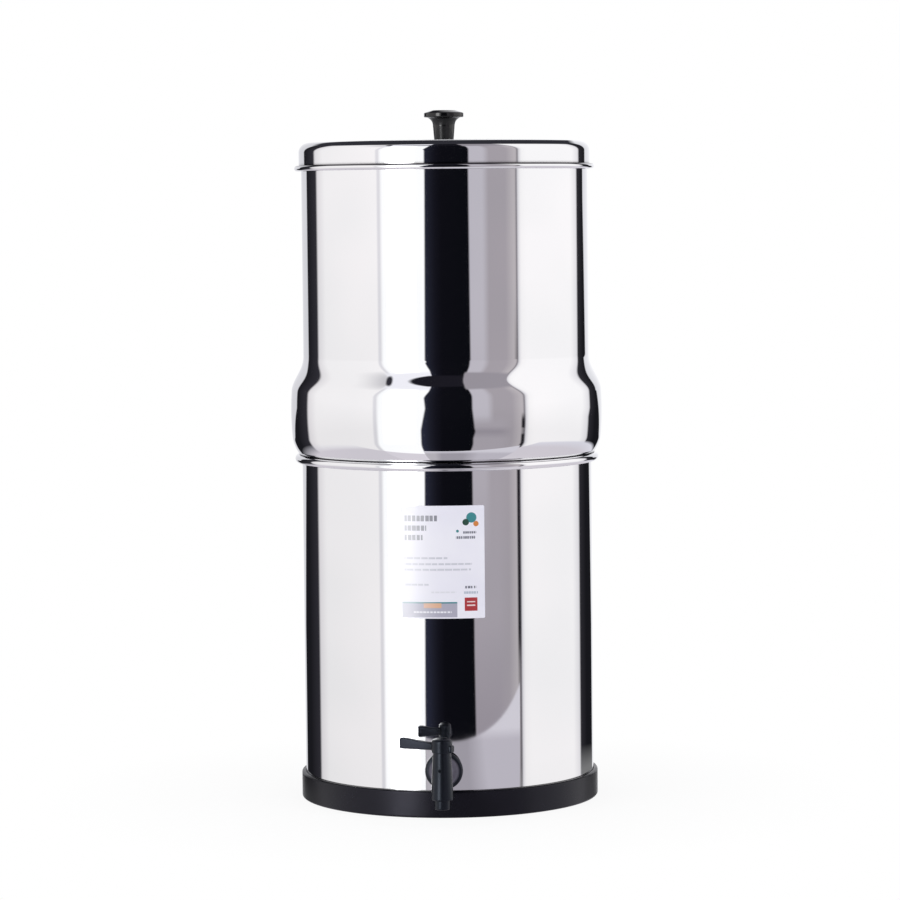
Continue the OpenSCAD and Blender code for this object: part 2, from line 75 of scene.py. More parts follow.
def feed(tree, made, inputs):
    """Sets a node's inputs to values, or links them to other nodes' outputs."""
    for key, value in inputs.items():
        value = getattr(value, "socket", value)
        if isinstance(value, bpy.types.NodeSocket):
            tree.links.new(value, made.inputs[key])
        else:
            made.inputs[key].default_value = value


def add(tree, kind, inputs=None, **settings):
    """Adds a node, sets it up and feeds it."""
    made = tree.nodes.new(kind)
    for key, value in settings.items():
        setattr(made, key, value)
    feed(tree, made, inputs or {})
    return made


class Field:
    """A node's output, which can be reckoned with like a number."""

    def __init__(self, tree, socket):
        self.tree, self.socket = tree, socket

    def maths(self, operation, *others, swapped=False):
        """The result of a math node on this output and others."""
        values = (*others, self) if swapped else (self, *others)
        return out(self.tree, "ShaderNodeMath", dict(enumerate(values)), operation=operation)

    def ranged(self, low, high, to_low=0.0, to_high=1.0):
        """This output carried from one range to another, without running past it."""
        return out(self.tree, "ShaderNodeMapRange",
                   {"Value": self, "From Min": low, "From Max": high,
                    "To Min": to_low, "To Max": to_high})

    def __add__(self, other):
        return self.maths("ADD", other)

    def __sub__(self, other):
        return self.maths("SUBTRACT", other)

    def __rsub__(self, other):
        return self.maths("SUBTRACT", other, swapped=True)

    def __mul__(self, other):
        return self.maths("MULTIPLY", other)

    def __truediv__(self, other):
        return self.maths("DIVIDE", other)

    def __rtruediv__(self, other):
        return self.maths("DIVIDE", other, swapped=True)


def out(tree, kind, inputs=None, output=0, **settings):
    """Adds a node and returns one of its outputs."""
    return Field(tree, add(tree, kind, inputs, **settings).outputs[output])


def outputs_of(tree, made):
    """All outputs of a node, by name."""
    return {socket.name: Field(tree, socket) for socket in made.outputs}


def split(tree, vector):
    """A vector's x, y and z."""
    return list(outputs_of(tree, add(tree, "ShaderNodeSeparateXYZ", {0: vector})).values())


def joined(tree, x, y, z=0):
    """A vector of x, y and z."""
    return out(tree, "ShaderNodeCombineXYZ", {"X": x, "Y": y, "Z": z})


def length(tree, vector):
    """A vector's length."""
    return out(tree, "ShaderNodeVectorMath", {0: vector}, "Value", operation="LENGTH")


def object_place(tree):
    """The place of a surface point, in the piece's own metres."""
    return out(tree, "ShaderNodeTexCoord", output="Object")


def node_group(name, kind, inputs, outputs):
    """An empty node group: its tree, its inputs and its last node. Each of its sockets is given by
    its kind, or by a number where a number goes in."""
    tree = bpy.data.node_groups.new(name, kind)
    for way, sockets in (("INPUT", inputs), ("OUTPUT", outputs)):
        for label, value in sockets.items():
            socket = value if isinstance(value, str) else "Float"
            made = tree.interface.new_socket(label, in_out=way, socket_type="NodeSocket" + socket)
            if value != socket:
                made.default_value = value
    given = outputs_of(tree, add(tree, "NodeGroupInput"))
    return tree, given, add(tree, "NodeGroupOutput")


def real_skin(tree, geometry, material):
    """Makes a geometry's copies real and gives it its material."""
    real = out(tree, "GeometryNodeRealizeInstances", {0: geometry})
    return out(tree, "GeometryNodeSetMaterial", {"Geometry": real, "Material": material})


def lathe_tree():
    """Turns an outline about the upright axis. A point's x is its radius, z its height, and y how
    far it takes part in a screw thread."""
    tree, given, made = node_group(
        "lathe", "GeometryNodeTree",
        {"Outline": "Geometry", "Steps": "Int", "Pitch": 1.5 * mm, "Depth": 0.8 * mm,
         "Material": "Material"},
        {"Skin": "Geometry"})
    outline = given["Outline"]
    count = out(tree, "GeometryNodeAttributeDomainSize", {0: outline}, "Point Count")
    grid = out(tree, "GeometryNodeMeshGrid",
               {"Vertices X": given["Steps"] + 1, "Vertices Y": count})
    index = out(tree, "GeometryNodeInputIndex")
    turn = (index / count).maths("FLOOR") / given["Steps"]
    point = out(tree, "GeometryNodeSampleIndex",
                {"Geometry": outline, "Value": out(tree, "GeometryNodeInputPosition"),
                 "Index": index.maths("MODULO", count)},
                data_type="FLOAT_VECTOR", domain="POINT")
    radius, share, height = split(tree, point)
    phase = (height / given["Pitch"] - turn).maths("FRACT")
    flank = (phase * 2 - 1).maths("ABSOLUTE")
    spoke = joined(tree, radius - flank * share * given["Depth"], 0, height)
    turned = out(tree, "ShaderNodeVectorRotate", {"Vector": spoke, "Angle": turn * math.tau},
                 rotation_type="Z_AXIS")
    moved = out(tree, "GeometryNodeSetPosition", {"Geometry": grid, "Position": turned})
    merged = out(tree, "GeometryNodeMergeByDistance", {"Geometry": moved, "Distance": 0.002 * mm})
    feed(tree, made, {0: real_skin(tree, merged, given["Material"])})
    return tree


def evaluated(piece):
    """A plain mesh of a piece with its modifiers applied, without empty material slots."""
    depsgraph = bpy.context.evaluated_depsgraph_get()
    made = bpy.data.meshes.new_from_object(piece.evaluated_get(depsgraph), depsgraph=depsgraph)
    for i in reversed(range(len(made.materials))):
        if made.materials[i] is None:
            made.materials.pop(index=i)
    return made


def link(name, mesh):
    """An object for a mesh, at the origin."""
    piece = bpy.data.objects.new(name, mesh)
    bpy.context.scene.collection.objects.link(piece)
    return piece


def grow(name, tree, mesh, inputs):
    """Runs a geometry node tree on a mesh and keeps what it makes as a plain mesh."""
    piece = link(name, mesh)
    modifier = piece.modifiers.new("grow", "NODES")
    modifier.node_group = tree
    for socket in tree.interface.items_tree:
        if socket.name in inputs:
            modifier[socket.identifier] = inputs[socket.name]
    made = evaluated(piece)
    piece.modifiers.clear()
    piece.data = made
    return piece


def face_out(piece, crease=35):
    """Turns a closed piece's faces outwards, shades it smooth and keeps its creases crisp."""
    work = bmesh.new()
    work.from_mesh(piece.data)
    bare = [edge for edge in work.edges if not edge.link_faces]
    bmesh.ops.delete(work, geom=bare, context="EDGES")
    bmesh.ops.recalc_face_normals(work, faces=work.faces)
    for face in work.faces:
        face.smooth = True
    work.to_mesh(piece.data)
    work.free()
    piece.data.set_sharp_from_angle(angle=math.radians(crease))


lathe_nodes = lathe_tree()


def lathe(name, outline, material, steps=96, place=None, **thread):
    """A closed piece turned from a closed outline of (radius, height) points, in metres."""
    mesh = bpy.data.meshes.new(name)
    ring = outline + outline[:1]
    mesh.from_pydata([(p[0], p[2] if len(p) > 2 else 0, p[1]) for p in ring], [], [])
    piece = grow(name, lathe_nodes, mesh, {"Steps": steps, "Material": material, **thread})
    if place:
        piece.data.transform(place)
    face_out(piece)
    return piece


def tint(red, green, blue):
    """A colour from its 0 to 255 display values."""
    parts = [c / 255 for c in (red, green, blue)]
    return [c / 12.92 if c <= 0.04045 else ((c + 0.055) / 1.055) ** 2.4 for c in parts] + [1]


def mixed(tree, share, low, high):
    """A colour between two colours."""
    return out(tree, "ShaderNodeMix", {0: share, 6: low, 7: high}, 2, data_type="RGBA")


def bare_tree(owner):
    """The emptied node tree of a material or a world."""
    owner.use_nodes = True
    owner.node_tree.nodes.clear()
    return owner.node_tree


def new_material(name, **constants):
    """A material with one Principled shader, its constants set on the shader's own sockets."""
    material = bpy.data.materials.new(name)
    tree = bare_tree(material)
    shader = add(tree, "ShaderNodeBsdfPrincipled",
                 {key.replace("_", " "): value for key, value in constants.items()})
    add(tree, "ShaderNodeOutputMaterial", {"Surface": shader.outputs[0]})
    return material, tree, shader


def grain_group():
    """The grain of a moulding: Normal is the grain, Tone a slow change over the surface, and the
    third output a highlight painted on its sharp edges."""
    tree, given, made = node_group(
        "moulded_grain", "ShaderNodeTree",
        {"Grain": 0.5 * mm, "Depth": 0.01 * mm, "Patch": 30 * mm},
        {"Tone": "Float", "Edge Highlight": "Float", "Normal": "Vector"})
    place = object_place(tree)
    fine, slow = (out(tree, "ShaderNodeTexNoise",
                      {"Vector": place, "Scale": 1 / given[size], "Detail": detail})
                  for size, detail in (("Grain", 3), ("Patch", 4)))
    edge = out(tree, "ShaderNodeNewGeometry", output="Pointiness")
    feed(tree, made, {
        "Tone": slow.ranged(0.35, 0.65), "Edge Highlight": edge.ranged(0.52, 0.62) * slow,
        "Normal": out(tree, "ShaderNodeBump",
                      {"Strength": 1, "Distance": given["Depth"], "Height": fine})})
    return tree


def grouped(tree, group, inputs):
    """Puts a node group into a tree and returns its outputs by name."""
    return outputs_of(tree, add(tree, "ShaderNodeGroup", inputs, node_tree=group))


moulded_grain = grain_group()


def moulding(name, dark, light, rough, shine=0.5, coat=0.0, grain=0.5 * mm, depth=0.01 * mm,
             sheen=(1, 1, 1, 1)):
    """Injection-moulded plastic: a colour that drifts a little, fine grain and a painted highlight
    along its sharp edges.
    """
    material, tree, shader = new_material(
        name, Specular_IOR_Level=shine, Specular_Tint=sheen, Coat_Weight=coat, Coat_Roughness=0.08)
    skin = grouped(tree, moulded_grain, {"Grain": grain, "Depth": depth})
    # painted highlight: sharp edges are painted lighter, in patches
    edge_lit = mixed(tree, skin["Edge Highlight"] * 0.35, mixed(tree, skin["Tone"], dark, light),
                 [min(1, 3 * c) for c in light])
    feed(tree, shader, {"Base Color": edge_lit, "Normal": skin["Normal"],
                        "Roughness": skin["Tone"].ranged(0, 1, rough + 0.04, rough - 0.04)})
    return material


_, base_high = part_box("base_ring")
base_wall = 2.9 * mm
base_foot_t = 4 * mm
base_foot_w = 12 * mm
base_edge_r = 1.5 * mm
base_in_r = base_high.x - base_wall
base_lip_r = 0.5 * mm
base_side = [(base_high.x, base_edge_r), (base_high.x, base_high.z - base_edge_r)]
base_outline = (
    [(base_in_r - base_foot_w, 0), (base_high.x - base_edge_r - nudge, 0)]
    + rounded(base_high.x, 0, base_edge_r, -90, 10)
    + run(*base_side)
    + rounded(base_high.x, base_high.z, base_edge_r, 0, 10)
    + rounded(base_in_r, base_high.z, base_lip_r, 90, 5)
    + [(base_in_r, base_foot_t), (base_in_r - base_foot_w, base_foot_t)])
base_plastic = moulding("charcoal_moulding", tint(9, 9, 13), tint(12, 12, 18), 0.3, shine=0.25,
                        sheen=(0.82, 0.81, 1, 1))
base_ring = lathe("base_ring_moulding", base_outline, base_plastic, steps=256)
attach(base_ring, "lower")
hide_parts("base_ring")

# ------------------------------------------------------------------------------ lower chamber
# A deep-drawn vessel of 0.8 mm stainless steel sheet, polished to a mirror. Its rim is rolled
# outwards into a bead, and its wall has one hole for the tap.

chamber_steps = 288
sheet_t = 0.8 * mm


def sheet(path, thickness):
    """The closed outline of sheet metal whose middle follows a path of (radius, height) points."""
    last = len(path) - 1
    sides = []
    for side in (0.5, -0.5):
        points = []
        for i, point in enumerate(path):
            before, after = path[max(i - 1, 0)], path[min(i + 1, last)]
            length = math.dist(before, after)
            shift = side * thickness / length
            points.append((point[0] - shift * (after[1] - before[1]),
                           point[1] + shift * (after[0] - before[0])))
        sides.append(points)
    return sides[0] + sides[1][::-1]


def polish_group():
    """What a polishing mop leaves on a turned shape: fine rings about the upright axis, broken up
    along their length, and slow waves in the sheet."""
    tree, given, made = node_group(
        "polish", "ShaderNodeTree",
        {"Line": 0.35 * mm, "Depth": 0.0002 * mm, "Wave": 0.012 * mm},
        {"Line": "Float", "Tone": "Float", "Normal": "Vector"})
    place = object_place(tree)
    x, y, z = split(tree, place)
    fine = 1 / given["Line"]
    across = joined(tree, length(tree, joined(tree, x, y)) * fine, z * fine, x * 12)
    lines = out(tree, "ShaderNodeTexNoise",
                {"Vector": across, "W": y * 12, "Scale": 1, "Detail": 2}, noise_dimensions="4D")
    slow = out(tree, "ShaderNodeTexNoise", {"Vector": place, "Scale": 14, "Detail": 1})
    waves = out(tree, "ShaderNodeBump",
                {"Strength": 1, "Distance": given["Wave"], "Height": slow})
    bump = out(tree, "ShaderNodeBump",
               {"Strength": 1, "Distance": given["Depth"], "Height": lines, "Normal": waves})
    feed(tree, made, {"Line": lines, "Tone": slow, "Normal": bump})
    return tree


polish = polish_group()


def steel(name, dark=tint(228, 229, 231), light=tint(232, 232, 234), rough=0.035,
          line=0.35 * mm, depth=0.0001 * mm, wave=0.01 * mm, shade_share=(0.2, 0.62)):
    """Stainless steel, mirror polished unless its roughness and its lines say otherwise.
    Narrow grooves and crevices are painted darker as shade, where less than the given share of the
    sky is open."""
    material, tree, shader = new_material(name, Metallic=1.0)
    skin = grouped(tree, polish, {"Line": line, "Depth": depth, "Wave": wave})
    unshaded = mixed(tree, skin["Tone"].ranged(0.35, 0.65), dark, light)
    # painted shade: where ambient occlusion finds little open sky, the base colour turns dark grey
    open_sky = out(tree, "ShaderNodeAmbientOcclusion", {"Distance": 2.2 * mm}, "AO", samples=8)
    feed(tree, shader, {
        "Base Color": mixed(tree, open_sky.ranged(*shade_share), tint(70, 66, 72), unshaded),
        "Roughness": skin["Line"].ranged(0.3, 0.7, 0.8 * rough, 1.2 * rough),
        "Normal": skin["Normal"]})
    return material


def cut(piece, tools, operation="DIFFERENCE"):
    """Cuts tools from a piece, or joins them to it, and removes them."""
    for tool in tools:
        modifier = piece.modifiers.new("cut", "BOOLEAN")
        modifier.operation = operation
        modifier.object = tool
        modifier.solver = "MANIFOLD"
    made = evaluated(piece)
    piece.modifiers.clear()
    piece.data = made
    for tool in tools:
        bpy.data.objects.remove(tool)
    face_out(piece)


def drum(radius, low, high):
    """The outline of a plain cylinder."""
    return [(0, low), (radius, low), (radius, high), (0, high)]


def rod(radius, start, end, steps=64):
    """A plain cylinder between two points, to cut or join with."""
    axis = Vector(end) - Vector(start)
    turn = axis.to_track_quat("Z", "Y").to_matrix().to_4x4()
    return lathe("rod", drum(radius, 0, axis.length), None, steps,
                 Matrix.Translation(start) @ turn)


lower_low, lower_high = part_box("lower_chamber")
lower_roll_d = 5.9 * mm
lower_roll_r = (lower_roll_d - sheet_t) / 2
lower_corner_r = 6 * mm
lower_r = lower_high.x - lower_roll_d + sheet_t
lower_mid_r = lower_r - sheet_t / 2
lower_roll_z = lower_high.z - lower_roll_d / 2
lower_floor = (lower_r - lower_corner_r, lower_low.z + sheet_t / 2)
lower_corner = (lower_floor[0], lower_low.z + lower_corner_r)
tap_z = base_high.z + 14.8 * mm
tap_hole_r = 8.3 * mm
shank_d = 16 * mm
lower_path = (
    [(0, lower_floor[1]), (0.3 * lower_r, lower_floor[1]), (lower_floor[0] - nudge, lower_floor[1])]
    + arc(lower_corner, lower_corner_r - sheet_t / 2, -90, 0, 12)
    + [(lower_mid_r, z) for z in (lower_corner[1] + nudge, tap_z - 9.5 * mm, tap_z + 9.5 * mm,
                                  lower_roll_z - nudge)]
    + arc((lower_mid_r + lower_roll_r, lower_roll_z), lower_roll_r, 180, -115, 48))
mirror_steel = steel("mirror_steel")
lower_chamber = lathe("lower_chamber_shell", sheet(lower_path, sheet_t), mirror_steel,
                      chamber_steps)
cut(lower_chamber, [rod(tap_hole_r, (0, -lower_r - 5 * mm, tap_z), (0, -lower_r + 5 * mm, tap_z))])
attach(lower_chamber, "lower")
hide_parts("lower_chamber")

# -------------------------------------------------------------------------------------- label
# A printed film with an adhesive back, stuck on the front of the lower chamber. Its print is
# only bars, dots and blocks, in the places of a title, a picture and small print.

label_low, label_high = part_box("label")
label_w = 59.6 * mm
label_t = 0.25 * mm
label_r = lower_r + 0.02 * mm
label_round = 1 * mm
print_scale = 10            # print map units to a metre
bend = [label_round * (1 - math.cos(math.radians(15 * i))) for i in range(7)]
middle = [label_round + (label_w - 2 * label_round) * i / 36 for i in range(1, 36)]
columns = bend + middle + [label_w - s for s in reversed(bend)]
film = bmesh.new()
print_map = film.loops.layers.uv.new("print")
rows = []
for along in columns:
    inset = max(label_round - along, label_round - (label_w - along), 0)
    drop = label_round - math.sqrt(label_round ** 2 - inset ** 2)
    turn = math.radians(-90) + (along - label_w / 2) / lower_r
    rows.append([film.verts.new((r * math.cos(turn), r * math.sin(turn), z))
                 for r, z in ((label_r + label_t, label_low.z + drop),
                              (label_r + label_t, label_high.z - drop),
                              (label_r, label_high.z - drop), (label_r, label_low.z + drop))])
for one, two, along, next_along in zip(rows, rows[1:], columns, columns[1:]):
    for i in range(4):
        face = film.faces.new((one[i], two[i], two[i - 3], one[i - 3]))
        for loop, s in zip(face.loops, (along, next_along, next_along, along)):
            loop[print_map].uv = (s * print_scale, (loop.vert.co.z - label_low.z) * print_scale)
film.faces.new(rows[0])
film.faces.new(rows[-1])
label_mesh = bpy.data.meshes.new("label_film")
film.to_mesh(label_mesh)
film.free()
label = link("label_film", label_mesh)
face_out(label)


def within(value, low, high):
    """1 where a value lies between two others, else 0."""
    return value.maths("GREATER_THAN", low) * value.maths("LESS_THAN", high)


def print_group():
    """One bar of ink on the film, in millimetres from its lower left corner. Stroke and Gap, where
    not 0, break it up, as words do. Round makes it a dot of that radius about Left and Low."""
    tree, given, made = node_group(
        "print_bar", "ShaderNodeTree",
        {"Film": "Color", "X": 0, "Y": 0, "Left": 0, "Right": 0, "Low": 0, "High": 0,
         "Stroke": 0, "Gap": 0, "Round": 0, "Ink": "Color"},
        {"Film": "Color"})
    bar = (within(given["X"], given["Left"], given["Right"])
           * within(given["Y"], given["Low"], given["High"]))
    away = length(tree, joined(tree, given["X"] - given["Left"], given["Y"] - given["Low"]))
    line = (given["Low"] * 10).maths("FLOOR")
    spread = out(tree, "ShaderNodeTexNoise",
                 {"W": given["X"] * 0.9 + line, "Scale": 1, "Detail": 1}, noise_dimensions="1D")
    step = ((given["X"] + spread) / given["Stroke"]).maths("FRACT")
    bar = bar * step.maths("LESS_THAN", 1 - given["Gap"])
    mark = bar.maths("MAXIMUM", away.maths("LESS_THAN", given["Round"]))
    feed(tree, made, {0: mixed(tree, mark, given["Film"], given["Ink"])})
    return tree


grey, dark_grey, faint = tint(138, 139, 148), tint(120, 121, 134), tint(206, 206, 216)
teal, green, orange = tint(60, 140, 146), tint(44, 78, 66), tint(214, 132, 62)
red, pink, lilac = tint(176, 52, 58), tint(236, 214, 214), tint(176, 174, 190)
# left, right, low, high, stroke, gap, round, ink: millimetres from the lower left corner
prints = (
    (3.4, 26.4, 68.2, 72.2, 3.1, 0.24, 0, grey),
    (3.4, 18.8, 61.6, 65.2, 3.1, 0.24, 0, grey),
    (3.4, 16.2, 55.0, 58.6, 3.1, 0.24, 0, grey),
    (50.4, 0, 70.6, 0, 9, 0, 3.6, teal), (46.4, 0, 67.4, 0, 9, 0, 2.3, green),
    (53.6, 0, 66.2, 0, 9, 0, 1.9, orange), (40.6, 0, 61.2, 0, 9, 0, 1.0, teal),
    (44.4, 53.8, 59.4, 61.0, 1.5, 0.25, 0, dark_grey),
    (39.4, 53.6, 55.8, 57.6, 1.5, 0.25, 0, dark_grey),
    (3.2, 33.4, 41.7, 43.0, 5.2, 0.14, 0, faint), (3.2, 50.6, 37.5, 38.8, 4.6, 0.14, 0, faint),
    (3.2, 49.8, 33.6, 34.9, 5.4, 0.12, 0, faint), (3.2, 20.2, 23.1, 24.4, 4.4, 0.14, 0, faint),
    (22.0, 39.4, 17.9, 19.0, 3.6, 0.16, 0, tint(226, 226, 234)),
    (1.4, 40.0, 10.6, 11.6, 90, 0, 0, teal), (1.4, 40.0, 0.9, 10.6, 90, 0, 0, lilac),
    (16.5, 29.0, 7.4, 10.8, 90, 0, 0, tint(226, 180, 148)),
    (9.5, 36.0, 3.9, 5.1, 2.4, 0.25, 0, tint(238, 238, 244)),
    (45.2, 54.2, 5.2, 14.6, 90, 0, 0, red),
    (46.8, 52.6, 8.6, 9.6, 90, 0, 0, pink), (46.8, 52.6, 11.2, 12.0, 90, 0, 0, pink),
    (44.8, 54.6, 17.2, 18.9, 1.8, 0.15, 0, tint(186, 194, 208)),
    (45.6, 53.6, 21.0, 22.7, 2.0, 0.25, 0, dark_grey))
printed_film, tree, shader = new_material("printed_film", Roughness=0.34, Coat_Weight=0.35,
                                          Coat_Roughness=0.12)
spot = out(tree, "ShaderNodeUVMap", uv_map="print")
across, up = (part * (1000 / print_scale) for part in split(tree, spot)[:2])
skin = grouped(tree, moulded_grain, {"Grain": 0.9 * mm, "Depth": 0.003 * mm, "Patch": 45 * mm})
printed = mixed(tree, skin["Tone"], tint(238, 237, 248), tint(244, 243, 251))
print_bar = print_group()
for row in prints:
    bar = dict(zip(("Left", "Right", "Low", "High", "Stroke", "Gap", "Round", "Ink"), row))
    printed = grouped(tree, print_bar, {**bar, "X": across, "Y": up, "Film": printed})["Film"]
# painted reflection: the film is painted paler towards its left, for the glare on its coat there
printed = mixed(tree, across.ranged(1, 27, 0.6, 0), printed, tint(247, 247, 250))
feed(tree, shader, {"Base Color": printed, "Normal": skin["Normal"]})
label.data.materials.append(printed_film)
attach(label, "lower")
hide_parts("label")

# -------------------------------------------------------------------------- tap washers and nut
# Two rubber washers seal the hole in the wall, the outer hollowed and the inner rounded to fit it.
# A moulded hexagon nut clamps the tap on them from inside the chamber.

fit = 0.05 * mm
tap_washer_t = 3 * mm
tap_washer_r = 11 * mm
tap_nut_t = 7 * mm
tap_nut_r = 12 * mm / math.cos(math.radians(30))
lower_in_r = lower_r - sheet_t
flange_y = lower_r + tap_washer_t
nut_y = lower_in_r - tap_washer_t
shank_r = shank_d / 2
along_tap = Matrix(((1, 0, 0, 0), (0, 0, -1, 0), (0, 1, 0, tap_z), (0, 0, 0, 1)))
rubber = moulding("black_rubber", tint(30, 30, 31), tint(40, 40, 41), 0.62, shine=0.35,
                  grain=0.25 * mm, depth=0.02 * mm)
white_plastic = moulding("white_moulding", tint(226, 226, 220), tint(234, 234, 229), 0.4)


def ring_outline(inner, outer, low, high, soft):
    """The outline of a ring with softened edges."""
    corners = ((inner, low, 180), (outer, low, -90), (outer, high, 0), (inner, high, 90))
    return [point for x, z, start in corners for point in rounded(x, z, soft, start, 4)]


wall_low, wall_high = (0, 0, tap_z - 30 * mm), (0, 0, tap_z + 30 * mm)
outer_washer, inner_washer = (
    lathe(name, ring_outline(shank_r + fit, tap_washer_r, low, high, 0.4 * mm), rubber, 96,
          along_tap)
    for name, low, high in (("tap_outer_seal", lower_r - 4 * mm, flange_y),
                            ("tap_inner_seal", nut_y, lower_r)))
cut(outer_washer, [rod(lower_r + fit, wall_low, wall_high, chamber_steps)])
cut(inner_washer, [rod(lower_in_r - fit, wall_low, wall_high, chamber_steps)], "INTERSECT")
nut_back_y = nut_y - tap_nut_t
nut_lead = 0.6 * mm
tap_nut = lathe("tap_clamp_nut", [(shank_r + nut_lead, nut_back_y), (tap_nut_r, nut_back_y),
                                  (tap_nut_r, nut_y), (shank_r + nut_lead, nut_y),
                                  (shank_r + fit, nut_y - nut_lead),
                                  (shank_r + fit, nut_back_y + nut_lead)],
                white_plastic, 6, along_tap)
chamfer = [(0, nut_back_y), (tap_nut_r - 1.6 * mm, nut_back_y),
           (tap_nut_r, nut_back_y + 1 * mm), (tap_nut_r, nut_y), (0, nut_y)]
cut(tap_nut, [lathe("nut_turning", chamfer, white_plastic, 96, along_tap)], "INTERSECT")
for piece, node, finish in ((outer_washer, "tap_outer_washer", "rubber"),
                            (inner_washer, "tap_inner_washer", "rubber"),
                            (tap_nut, "tap_nut", "white_plastic")):
    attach(piece, "lower")
    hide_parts(node)

# ----------------------------------------------------------------------------------- tap body
# Flange, neck, barrel, nozzle and threaded shank in one dark plastic moulding, whose flange face is
# painted a lighter grey as painted light. The barrel is bored from above for the valve plug, and
# its top has a track for the lever's stop.

tap_low, tap_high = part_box("tap_body")
barrel_y = lower_r + 37.4 * mm
barrel_top_z = tap_high.z
nozzle_z = tap_low.z
barrel_foot_z = nozzle_z + 6.8 * mm
barrel_top_r, barrel_foot_r, nozzle_r = 6.35 * mm, 7.8 * mm, 5.3 * mm
plug_bore_r, way_r, nozzle_way_r = 5 * mm, 3 * mm, 3.5 * mm
plug_floor_z = barrel_foot_z + 3 * mm
hub_z = barrel_top_z - 3.5 * mm
shank_end_y = nut_back_y - 5 * mm
tap_flange_r, tap_neck_r = 13.3 * mm, 5.5 * mm
lever_turn, stop_turn, lever_travel = 155, 14, 115
stop_in_r = plug_bore_r + 0.7 * mm
stop_h = 2.4 * mm
at_barrel = Matrix.Translation((0, -barrel_y, 0))


def threaded(radius, start, end, pitch, fade=2):
    """Outline points along a screw thread, which fades in and out over a few of them."""
    steps = round(abs(end - start) / pitch * 6)
    points = []
    for i in range(steps + 1):
        share = min(1, i / fade, (steps - i) / fade)
        points.append((radius, start + (end - start) * i / steps, share))
    return points


def skinned(name, loops, material, place):
    """A closed piece between loops of points, which all have as many."""
    work = bmesh.new()
    rings = [[work.verts.new(point) for point in loop] for loop in loops]
    for one, two in zip(rings, rings[1:]):
        for i in range(len(one)):
            work.faces.new((one[i - 1], one[i], two[i], two[i - 1]))
    work.faces.new(rings[0])
    work.faces.new(rings[-1])
    mesh = bpy.data.meshes.new(name)
    work.to_mesh(mesh)
    work.free()
    if material:
        mesh.materials.append(material)
    mesh.transform(place)
    piece = link(name, mesh)
    face_out(piece)
    return piece


def sector(name, inner, outer, low, high, start, end, place, steps=32):
    """A closed block between two radii, two heights and two angles."""
    turns = [math.radians(start + (end - start) * i / steps) for i in range(steps + 1)]
    return skinned(name, [[(r * math.cos(turn), r * math.sin(turn), z)
                           for r, z in ((inner, low), (outer, low), (outer, high), (inner, high))]
                          for turn in turns], None, place)


def source(shader, key):
    """What one of a shader's inputs is linked to."""
    return shader.inputs[key].links[0].from_socket


tap_plastic = moulding("slate_moulding", tint(11, 13, 18), tint(16, 18, 25), 0.3, shine=0.3,
                       grain=0.8 * mm, depth=0.006 * mm, sheen=(0.74, 0.84, 1, 1))
tree = tap_plastic.node_tree
shader = tree.nodes["Principled BSDF"]
x, y, z = split(tree, object_place(tree))
# painted light: the flange's face is painted lighter grey, for the light it catches
flange_face_light = (length(tree, joined(tree, x, z - tap_z)).ranged(11.2 * mm, 9.6 * mm)
               * y.ranged(-flange_y - 5.2 * mm, -flange_y - 4.4 * mm)
               * y.ranged(-flange_y + 1 * mm, -flange_y))
# painted light: the lever's bar is painted lighter than the rest of the moulding, for the light on
# its front
lever_light = (length(tree, joined(tree, x, y + barrel_y)).ranged(8 * mm, 14 * mm)
           * z.ranged(tap_z + 13 * mm, tap_z + 14 * mm))
for share, colour in ((flange_face_light, tint(112, 108, 120)), (lever_light, tint(44, 46, 54))):
    feed(tree, shader, {"Base Color": mixed(tree, share, source(shader, "Base Color"), colour)})
barrel_soft, foot_soft = 0.8 * mm, 0.7 * mm
barrel_outline = (
    [(0, nozzle_z), (nozzle_r - barrel_soft - nudge, nozzle_z)]
    + rounded(nozzle_r, nozzle_z, barrel_soft, -90, 6)
    + run((nozzle_r, nozzle_z + barrel_soft), (nozzle_r, barrel_foot_z - 0.5 * mm))
    + arc((nozzle_r + 0.5 * mm, barrel_foot_z - 0.5 * mm), 0.5 * mm, 180, 90, 4)
    + rounded(barrel_foot_r, barrel_foot_z, foot_soft, -90, 6)
    + run((barrel_foot_r, barrel_foot_z + foot_soft), (barrel_top_r, hub_z - 0.6 * mm))
    + [(barrel_top_r, hub_z - 0.6 * mm), (barrel_top_r, barrel_top_z - 0.3 * mm),
       (barrel_top_r - 0.3 * mm, barrel_top_z), (0, barrel_top_z)])
shank_pitch = 1.5 * mm
shank_outline = (
    [(0, shank_end_y), (shank_r - 1 * mm, shank_end_y)]
    + threaded(shank_r, shank_end_y + 0.8 * mm, shank_end_y + 6 * mm, shank_pitch)
    + [(shank_r, flange_y)]
    + [(tap_flange_r - 0.4 * mm, flange_y)]
    + rounded(tap_flange_r, flange_y, 0.4 * mm, -90, 4, 1)
    + arc((tap_flange_r - 2.6 * mm, flange_y + 1.3 * mm), 2.6 * mm, 0, 82, 12)
    + [(tap_neck_r + 2.2 * mm, flange_y + 4 * mm)]
    + arc((tap_neck_r + 1.6 * mm, flange_y + 5.6 * mm), 1.6 * mm, -90, -180, 6)
    + run((tap_neck_r, flange_y + 5.6 * mm), (tap_neck_r, barrel_y - 9 * mm))
    + [(tap_neck_r, barrel_y - 1 * mm), (0, barrel_y - 1 * mm)])
tap_body = lathe("tap_body_moulding", barrel_outline, tap_plastic, 128, at_barrel)
shank = lathe("shank", shank_outline, tap_plastic, 128, along_tap, Pitch=shank_pitch,
              Depth=0.8 * mm)
cut(tap_body, [shank], "UNION")
